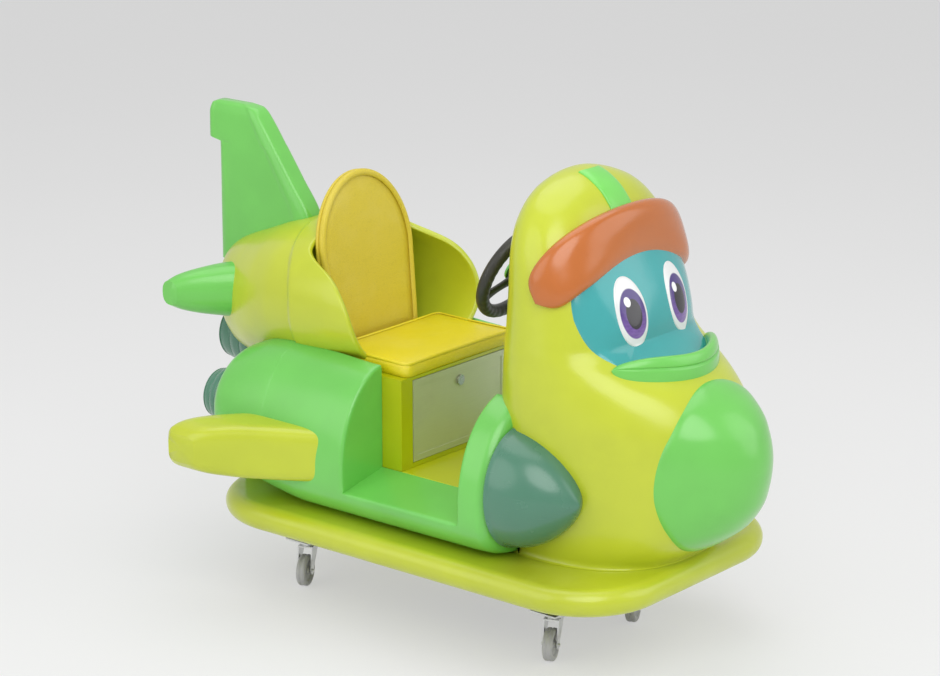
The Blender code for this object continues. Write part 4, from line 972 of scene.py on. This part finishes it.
def collar_start(angle):
    """y where the cockpit edge crosses the tail at each angle, by repeated substitution, then
    evened out by a running mean round the tail."""
    y = np.full(angle.shape, 0.25)
    for _ in range(60):
        _, z = tail_place(angle, y)
        y = 0.5 * y + 0.5 * np.interp(z, COLLAR[:, 0], COLLAR[:, 1])
    return np.convolve(np.concatenate((y[-6:], y, y[:6])), np.ones(13) / 13, "valid")


class RIDE_OT_tail(Operator):
    """Tail moulding with the rounded cockpit edge, its nozzle, the wings, stabilisers and fin"""

    bl_idname = "ride.tail"
    bl_label = "Tail, wings and fin"

    def execute(self, context):
        colours = context.scene.ride_colours
        self.moulding(colours, context.scene.ride_sizes)
        teal = gelcoat("teal_gelcoat_tail", colours.teal, 0.26)
        profile = ringed_nozzle(
            0.098, (0.97, 0.10), 0.0417, (0, 0.006, 0.023, 0.035, 0.040),
            (0.1252, 0.1248, 0.118, 0.050, 0.048), 0.25, 0.0034,
        )
        nozzle = spun(profile, (0, 0.600, 0.520), (0, 1, 0), 144)
        piece("nozzle_tail_rings", nozzle, teal, "tail_nozzle", sharp=35)
        self.blades(colours)
        return {"FINISHED"}

    def moulding(self, colours, sizes):
        """The inner wall comes forward to the cockpit edge, turns round it, and the outer skin
        runs back to the tail's end."""
        wall, angle = sizes.collar_wall, turn(320)
        start = collar_start(angle)
        first = start + wall / 2
        places = []
        for share in np.linspace(0, 1, 14):
            places.append((first + (0.366 - start - wall / 2) * (1 - share), wall, 0.0))
        for a in np.linspace(0, math.pi, 14)[1:-1]:
            places.append((start + wall / 2 * (1 - math.sin(a)), wall / 2 * (1 + math.cos(a)), 0.0))
        for share in gathered(0, 1, 0.06, 130, 26):
            places.append((first + (TAIL_END_Y - 0.0005 - first) * share, 0.0, sizes.tail_step))
        rows = []
        for y, inset, step in places:
            x, z = tail_place(angle, y, inset, step)
            rows.append(stack(x, y, z))
        lime = gelcoat("lime_gelcoat_tail", colours.lime)
        piece("tail_skin", np.array(rows), lime, "tail_shell")

    def blades(self, colours):
        """Wings, stabilisers and fin: an oval section whose ends and thickness change along the
        span, closed by a rounded tip."""
        lime = gelcoat("lime_gelcoat_wing", colours.lime)
        green = gelcoat("green_gelcoat_fin", colours.green)
        for label, table, z, power, paint, slot in (
            ("wing", WING, 0.396, 4.6, lime, "lime_gelcoat"),
            ("stabiliser", STABILISER, 0.662, 2.4, green, "green_gelcoat"),
        ):
            at = gathered(table[0, 0], table[-1, 0], 0.006, 56, 12)
            ahead, behind, half = (v[:, None] for v in flow(table, at).T)
            cy, cz = oval(turn(160), power)
            y = (ahead + behind) / 2 + (behind - ahead) / 2 * cy
            grid = stack(at[:, None], y, z + half * cz)
            for name, side in SIDES:
                piece(f"{label}_{name}_skin", mirror(grid, side), paint, f"{label}_{name}")
        at = np.concatenate((
            np.linspace(0.700, 0.982, 60), np.linspace(0.9835, 0.9945, 10),
            np.linspace(0.997, 1.068, 24), np.linspace(1.0695, 1.081, 12),
        ))
        ahead, behind, half = (v[:, None] for v in flow(FIN, at).T)
        cx, cy = oval(turn(200), 5.0)
        # The leading edge stands proud as a rounded band; the sides behind it are a panel.
        share, depth, ease = (1 + cy) / 2, 0.10, 0.012
        front, rear = 1 + np.exp(-(share - 0.17) / ease), 1 + np.exp((share - 0.90) / ease)
        panel = 1 - depth / front / rear
        y = (ahead + behind) / 2 + (behind - ahead) / 2 * cy
        grid = stack(half * cx * panel, y, at[:, None])
        piece("fin_skin", grid, green, "tail_fin", sharp=42)


# ---------------------------------------------------------------- tray, wheels and controls
def plan_ring(count, half_x, half_y, corner, centre_y=0.0):
    """Rounded rectangle: points at equal steps of angle, pushed out to a border made of
    straight sides and quarter circles."""
    angle = turn(count)
    cosine, sine = np.cos(angle), np.sin(angle)
    # Where a ray meets the straight sides, and where it meets the corner's circle.
    reach = 1 / np.maximum(np.abs(cosine) / half_x, np.abs(sine) / half_y)
    cx, cy = half_x - corner, half_y - corner
    along = np.abs(cosine) * cx + np.abs(sine) * cy
    inside = np.maximum(along**2 - (cx**2 + cy**2 - corner**2), 0)
    in_corner = (reach * np.abs(cosine) > cx) & (reach * np.abs(sine) > cy)
    reach = np.where(in_corner, along + np.sqrt(inside), reach)
    return reach * cosine, centre_y + reach * sine


class RIDE_OT_tray(Operator):
    """Base tray: a deck with a fat rounded edge, hollow below, and a slot for the drive"""

    bl_idname = "ride.tray"
    bl_label = "Base tray"

    def execute(self, context):
        colours = context.scene.ride_colours
        low, high, roll, wall = 0.187, 0.250, 0.0315, 0.005
        half_x, half_y, corner, centre = 0.366, 0.596, 0.194, -0.059
        count = 400
        hole_x, hole_y = plan_ring(count, 0.122, 0.190, 0.012, -0.110)
        rows = []

        def border(draw_in):
            return plan_ring(count, half_x - draw_in, half_y - draw_in, corner - draw_in, centre)

        def deck(share, z):
            """A ring of the deck, between the slot's edge at 0 and the rounded edge at 1."""
            x, y = border(roll)
            rows.append(stack(hole_x + (x - hole_x) * share, hole_y + (y - hole_y) * share, z))

        def edge(radius, degrees):
            for a in np.radians(degrees):
                x, y = border(roll - radius * math.cos(a))
                rows.append(stack(x, y, (low + high) / 2 + radius * math.sin(a)))

        deck(0.0, high - 0.003)
        deck(0.012, high - 0.0006)
        for share in (0.03, 0.30, 0.60, 0.90):
            deck(share, high)
        edge(roll, np.linspace(90, -75, 30))
        edge(roll - wall, np.linspace(90, -75, 30)[::-1])
        for share in (0.90, 0.60, 0.30, 0.03, 0.0):
            deck(share, high - wall)
        paint = gelcoat("lime_gelcoat_tray", scaled(colours.lime, 0.97), 0.30, 0.5)
        piece("tray_skin", [(np.array(rows), True)], paint, "base_tray", sharp=42)
        return {"FINISHED"}


class RIDE_OT_wheels(Operator):
    """Caster wheels: a grooved tread, a moulded web and a hub boss, turned about each axle"""

    bl_idname = "ride.wheels"
    bl_label = "Caster wheels"

    def execute(self, context):
        tread = moulded("grey_tread_fine", (0.50, 0.50, 0.51), 0.46)
        # The axle lies across the heading, which is the same for all four.
        axle = (-math.sin(CASTER_HEADING), math.cos(CASTER_HEADING), 0.0)
        for corner in ("fl", "fr", "rl", "rr"):
            low, high = (np.array(v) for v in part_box(f"caster_wheel_{corner}"))
            radius, half = (high[2] - low[2]) / 2, 0.012
            # Radius and place along the axle, from the bore out to the groove; then mirrored.
            side = [
                (0.0042, -half), (0.0085, -half), (0.0098, -half * 0.62), (0.0230, -half * 0.55),
                (0.0262, -half * 0.92), (0.0335, -half), (radius - 0.0004, -half * 0.72),
                (radius, -0.0032), (radius - 0.0009, -0.0016),
            ]
            profile = rounded_profile(side + [(r, -z) for r, z in reversed(side)], 0.0018)
            grid = spun(profile, (low + high) / 2, axle, 96)
            piece(f"wheel_{corner}_tyre", [(grid, True)], tread, f"caster_wheel_{corner}",
                  f"wheel_{corner}", 40)
        return {"FINISHED"}


class RIDE_OT_steering(Operator):
    """Steering wheel: a rim with finger waves behind it, three webbed spokes and a dished hub"""

    bl_idname = "ride.steering"
    bl_label = "Steering wheel"

    def execute(self, context):
        sizes = context.scene.ride_sizes
        ring, tube = sizes.steering_radius, sizes.steering_tube
        sine, cosine = math.sin(STEERING_TILT), math.cos(STEERING_TILT)
        across, upward, axis = np.array(((1.0, 0, 0), (0, -sine, cosine), (0, cosine, sine)))

        def lay(u, v, w):
            u, v, w = u[..., None], v[..., None], w[..., None]
            return STEERING_CENTRE + u * across + v * upward + w * axis

        angle, section = turn(288)[:, None], turn(40)[None, :]
        # The tube swells by a twentieth between the finger hollows on its far side.
        wave = 1 - 0.045 * (0.5 + 0.5 * np.cos(angle * 36)) * np.clip(-np.sin(section), 0, 1)
        out = ring + tube * wave * np.cos(section)
        rim = lay(out * np.cos(angle), out * np.sin(angle), tube * wave * np.sin(section))
        parts = [(rim, True)]
        along = np.linspace(0, 1, 30)[:, None]
        cx, cy = oval(turn(36)[None, :], 2.6)
        # Spokes narrow to their middle and spread again where they join the rim.
        side = (0.0105 + 0.0075 * np.abs(2 * along - 1) ** 2.4) * cx
        thick = 0.0058 + 0.0022 * np.abs(2 * along - 1) ** 2
        reach = 0.016 + (ring - 0.018) * along
        dish = -0.010 * (1 - along) ** 1.5
        for degrees in (90, 210, 330):
            a = math.radians(degrees)
            u = reach * math.cos(a) - side * math.sin(a)
            v = reach * math.sin(a) + side * math.cos(a)
            parts.append((lay(u, v, dish + thick * cy), False))
        hub = rounded_profile((
            (0.004, -0.018), (0.026, -0.018), (0.030, -0.008), (0.030, 0.0005),
            (0.0265, 0.0036), (0.004, 0.0036),
        ), 0.0024)
        parts.append((spun(hub, STEERING_CENTRE, axis, 72), False))
        rubber = moulded("black_rim_plastic", (0.030, 0.029, 0.022), 0.36)
        piece("steering_rim", parts, rubber, "steering_wheel", "steering", 40)
        return {"FINISHED"}


# ---------------------------------------------------------------- seat
def pad_grid(ring, thick, crown, bead, dip):
    """A crowned pad with a piped edge. ring(grow) gives the outline grown by that much. The top
    rises to its middle and dips beside the piping, the side bellies, and the underside is flat."""
    grid = []
    edge = ring(-bead)
    middle = edge.mean(axis=0)
    for s in np.sin(np.linspace(0.04, 1, 44) * math.pi / 2):
        level = thick - bead * 0.9 + crown * max(0.0, 1 - s**2.6) ** 0.85
        level -= dip * math.exp(-(((s - 0.93) / 0.05) ** 2))
        flat = middle + (edge - middle) * s
        grid.append(stack(flat[:, 0], flat[:, 1], level))
    for a in np.radians(np.linspace(150, -60, 13)):
        flat = ring(bead * (math.cos(a) - 1))
        grid.append(stack(flat[:, 0], flat[:, 1], thick - bead + bead * math.sin(a)))
    for share in np.linspace(0, 1, 10)[1:]:
        flat = ring(0.0018 * math.sin(share * math.pi) - bead * 0.25 - 0.004 * share**4)
        grid.append(stack(flat[:, 0], flat[:, 1], (thick - 1.8 * bead) * (1 - share)))
    for share in (0.7, 0.35, 0.05):
        flat = middle + (ring(-0.008) - middle) * share
        grid.append(stack(flat[:, 0], flat[:, 1], 0.0))
    return np.array(grid)


def back_ring(half, height, foot, count=300):
    """Outline of the seat back, wide at the shoulders and arched over the top, as a function of
    how far it is grown along its own normals."""
    rise = half + 0.030
    over = np.linspace(0, math.pi, 160)
    arch = np.stack((half * np.cos(over), height - rise + rise * np.sin(over)), axis=1)
    path = np.vstack(((0.0, 0.0), (foot, 0.0), arch, (-foot, 0.0), (0.0, 0.0)))
    path = evenly(eased(evenly(path, 900), 110), count + 1)[:-1]
    ahead = np.roll(path, -1, axis=0) - np.roll(path, 1, axis=0)
    normal = np.stack((ahead[:, 1], -ahead[:, 0]), axis=1)
    normal /= np.linalg.norm(normal, axis=1)[:, None]
    return lambda grow: path + normal * grow


class RIDE_OT_seat(Operator):
    """Seat cushion and seat back: crowned vinyl pads with a piped seam all round"""

    bl_idname = "ride.seat"
    bl_label = "Seat and back"

    def execute(self, context):
        colours, sizes = context.scene.ride_colours, context.scene.ride_sizes
        low, high = (np.array(v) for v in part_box("seat_cushion"))
        centre, half = (low + high) / 2, (high - low) / 2
        pull = 0.003 / half[1]

        def cushion_ring(grow):
            """The cushion's plan; its sides pull in by 3 mm between the corners."""
            x, y = plan_ring(300, half[0] + grow, half[1] + grow, 0.022 + grow)
            corner = np.minimum(np.abs(x) / half[0], np.abs(y) / half[1])
            return np.stack((x, y), axis=1) * (1 - pull * (1 - corner**2))[:, None]

        grid = pad_grid(cushion_ring, 2 * half[2], sizes.cushion_crown, 0.0045, 0.0010)
        grid = grid + np.array((0, centre[1], low[2] + 0.0002))
        yellow = vinyl("seat_vinyl", colours.seat)
        cushion = piece("cushion_pad", grid, yellow, "seat_cushion")
        # The seat back's own plane: its foot stands on the seat box, leaning back.
        thick, rounding, foot_y = 0.028, 0.008, 0.264
        sine, cosine = math.sin(BACK_TILT), math.cos(BACK_TILT)
        drop = rounding * (sine + cosine - 1)
        foot = np.array((0, foot_y, SEAT_BOX_TOP + GAP + thick * sine - drop))
        side, up, back = np.array(((1.0, 0, 0), (0, sine, cosine), (0, cosine, -sine)))
        grid = pad_grid(back_ring(0.157, 0.404, 0.135), thick, 0.003, 0.0085, 0.0022)
        u, v, w = (grid[..., k : k + 1] for k in range(3))
        grid = foot + u * side + v * up + (thick - w) * back
        amber = vinyl("back_vinyl", colours.back)
        rest = piece("back_pad", grid, amber, "seat_back")
        return {"FINISHED"}


# ---------------------------------------------------------------- kept nodes
class RIDE_OT_fittings(Operator):
    """Finishes of the frame, casters, drive, seat box, door, controls and floor"""

    bl_idname = "ride.fittings"
    bl_label = "Frame, drive and fittings"

    def execute(self, context):
        colours = context.scene.ride_colours
        finishes = {
            "zinc_plate": zinc("zinc_plate_spangle", (0.76, 0.77, 0.76)),
            "painted_steel": painted_metal(
                "painted_steel_satin", (0.055, 0.057, 0.060), 0.1, 0.42
            ),
            "grey_casting": painted_metal("grey_casting_skin", (0.22, 0.225, 0.23), 0.3, 0.5),
            "dark_enclosure": painted_metal(
                "dark_enclosure_texture", (0.035, 0.037, 0.040), 0.0, 0.5
            ),
            "black_plastic": moulded("black_plastic_grain", (0.026, 0.026, 0.026), 0.38),
            "grey_tread": moulded("grey_tread_plain", (0.30, 0.30, 0.31), 0.5),
            "button_red": moulded("button_red_gloss", (0.62, 0.025, 0.020), 0.18, 0.00012),
            "green_gelcoat": gelcoat("green_gelcoat_small", colours.green),
            "lime_gelcoat": gelcoat("lime_gelcoat_small", colours.lime),
            "teal_gelcoat": gelcoat("teal_gelcoat_small", colours.teal),
            "seat_yellow": gelcoat("seat_box_gelcoat", (0.500, 0.540, 0.004), 0.28),
        }
        own = {
            # The door is grey sheet steel; the green-yellow tint in its colour is painted
            # reflection of the lime and yellow mouldings round it.
            "access_door": brushed("door_sheet_painted_reflection", (0.62, 0.66, 0.47), 0.46, metal=0.55),
            "door_lock": brushed("lock_barrel", (0.55, 0.55, 0.54), 0.22, (40, 40, 40)),
            "caster_brake": moulded("brake_pedal_plastic", (0.42, 0.42, 0.42), 0.42),
            "crank_disc": brushed("crank_face", (0.50, 0.50, 0.49), 0.30, (30, 30, 30)),
            "floor_pan": gelcoat("floor_gelcoat", (0.560, 0.600, 0.006), 0.34, 1.6),
        }
        for name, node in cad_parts.items():
            if node.hide_render:
                continue
            match = next((key for key in own if name.startswith(key)), None)
            slot = node.material_slots[0]
            slot.material = own[match] if match else finishes[slot.material.name.split(".")[0]]
        return {"FINISHED"}


# ---------------------------------------------------------------- stage
class RIDE_OT_stage(Operator):
    """Plain pale floor, soft lamps, an even sky and the camera"""

    bl_idname = "ride.stage"
    bl_label = "Studio"

    def execute(self, context):
        scene = context.scene
        self.floor(scene)
        self.lamps(scene)
        self.sky(scene)
        self.camera(scene)
        scene.view_settings.view_transform = "Standard"
        return {"FINISHED"}

    def floor(self, scene):
        shade = Shade("studio_floor")
        tone = shade.noise(0.7, 2)
        shade.set(
            Base_Color=shade.mix((0.84, 0.84, 0.84), (0.88, 0.88, 0.88), tone),
            Roughness=0.75 + tone * 0.1,
        )
        white = {"Color": (0.96, 0.96, 0.96), "Strength": 0.90}
        glow = shade.node("ShaderNodeEmission", None, white)
        mixed = shade.node("ShaderNodeMixShader", None, {
            0: shade.seen() * 0.55, 1: shade.shader.outputs[0], 2: glow.outputs[0],
        })
        shade.plug(shade.tree.nodes["Material Output"].inputs["Surface"], mixed.outputs[0])
        edge = 60.0
        mesh = bpy.data.meshes.new("studio_floor")
        points = [(-edge, -edge, 0), (edge, -edge, 0), (edge, edge, 0), (-edge, edge, 0)]
        mesh.from_pydata(points, [], [(0, 1, 2, 3)])
        mesh.materials.append(shade.material)
        floor = bpy.data.objects.new("studio_floor", mesh)
        scene.collection.objects.link(floor)

    def lamps(self, scene):
        """Round soft lamps, aimed at the middle of the ride."""
        middle = (CAD_BOX[0] + CAD_BOX[1]) / 2
        for name, place, size, power in (
            ("key", (-2.8, -2.8, 3.8), 4.0, 112),
            ("fill", (-4.0, 1.6, 2.4), 4.2, 50),
            ("front", (1.8, -3.6, 2.4), 3.6, 40),
            ("top", (0.4, 0.6, 4.4), 4.4, 62),
        ):
            light = bpy.data.lights.new(name, "AREA")
            light.shape = "DISK"
            light.size = size
            light.energy = power
            lamp = bpy.data.objects.new(f"lamp_{name}", light)
            scene.collection.objects.link(lamp)
            lamp.location = place
            aim = middle - lamp.location
            lamp.rotation_euler = aim.to_track_quat("-Z", "Y").to_euler()

    def sky(self, scene):
        """An even light on the ride, and a pale grey where the sky itself is seen."""
        world = bpy.data.worlds.new("studio_sky")
        scene.world = world
        world.use_nodes = True
        sky = Nodes(world.node_tree)
        sky.tree.nodes.clear()
        soft, pale = (
            sky.node("ShaderNodeBackground", None, {"Color": (grey,) * 3, "Strength": strength})
            for grey, strength in ((1.0, 0.42), (0.66, 1.0))
        )
        mix = sky.node("ShaderNodeMixShader", None, {
            0: sky.seen(), 1: soft.outputs[0], 2: pale.outputs[0],
        })
        sky.node("ShaderNodeOutputWorld", None, {"Surface": mix.outputs[0]})

    def camera(self, scene):
        azimuth, rise, distance = math.radians(-50.5), math.radians(17.0), 7.0
        target = Vector((0, 0, 0.541))
        away = Vector((
            math.sin(azimuth) * math.cos(rise), -math.cos(azimuth) * math.cos(rise), math.sin(rise)
        ))
        data = bpy.data.cameras.new("camera")
        data.lens = 117.96
        data.shift_y = 0.0404
        data.clip_end = 200
        camera = bpy.data.objects.new("camera", data)
        scene.collection.objects.link(camera)
        camera.location = target + away * distance
        camera.rotation_euler = (-away).to_track_quat("-Z", "Y").to_euler()
        scene.camera = camera


# ---------------------------------------------------------------- panel and registration
class RIDE_PT_panel(Panel):
    """Sizes, finishes and the steps that build the ride"""

    bl_idname = "RIDE_PT_panel"
    bl_label = "Kiddie ride"
    bl_space_type = "VIEW_3D"
    bl_region_type = "UI"
    bl_category = "Kiddie ride"

    def draw(self, context):
        for settings in (context.scene.ride_colours, context.scene.ride_sizes):
            for key in settings.__annotations__:
                self.layout.prop(settings, key)
        for operator in STEPS:
            self.layout.operator(operator.bl_idname)


STEPS = (
    RIDE_OT_front, RIDE_OT_face, RIDE_OT_visor, RIDE_OT_nose, RIDE_OT_pods, RIDE_OT_tail,
    RIDE_OT_tray, RIDE_OT_wheels, RIDE_OT_steering, RIDE_OT_seat, RIDE_OT_fittings, RIDE_OT_stage,
)
CLASSES = (RideColours, RideSizes, *STEPS, RIDE_PT_panel)


def register():
    for kind in CLASSES:
        bpy.utils.register_class(kind)
    bpy.types.Scene.ride_colours = PointerProperty(type=RideColours)
    bpy.types.Scene.ride_sizes = PointerProperty(type=RideSizes)


def unregister():
    del bpy.types.Scene.ride_sizes
    del bpy.types.Scene.ride_colours
    for kind in reversed(CLASSES):
        bpy.utils.unregister_class(kind)


def main():
    register()
    for operator in STEPS:
        group, name = operator.bl_idname.split(".")
        getattr(getattr(bpy.ops, group), name)()


if __name__ == "__main__":
    main()
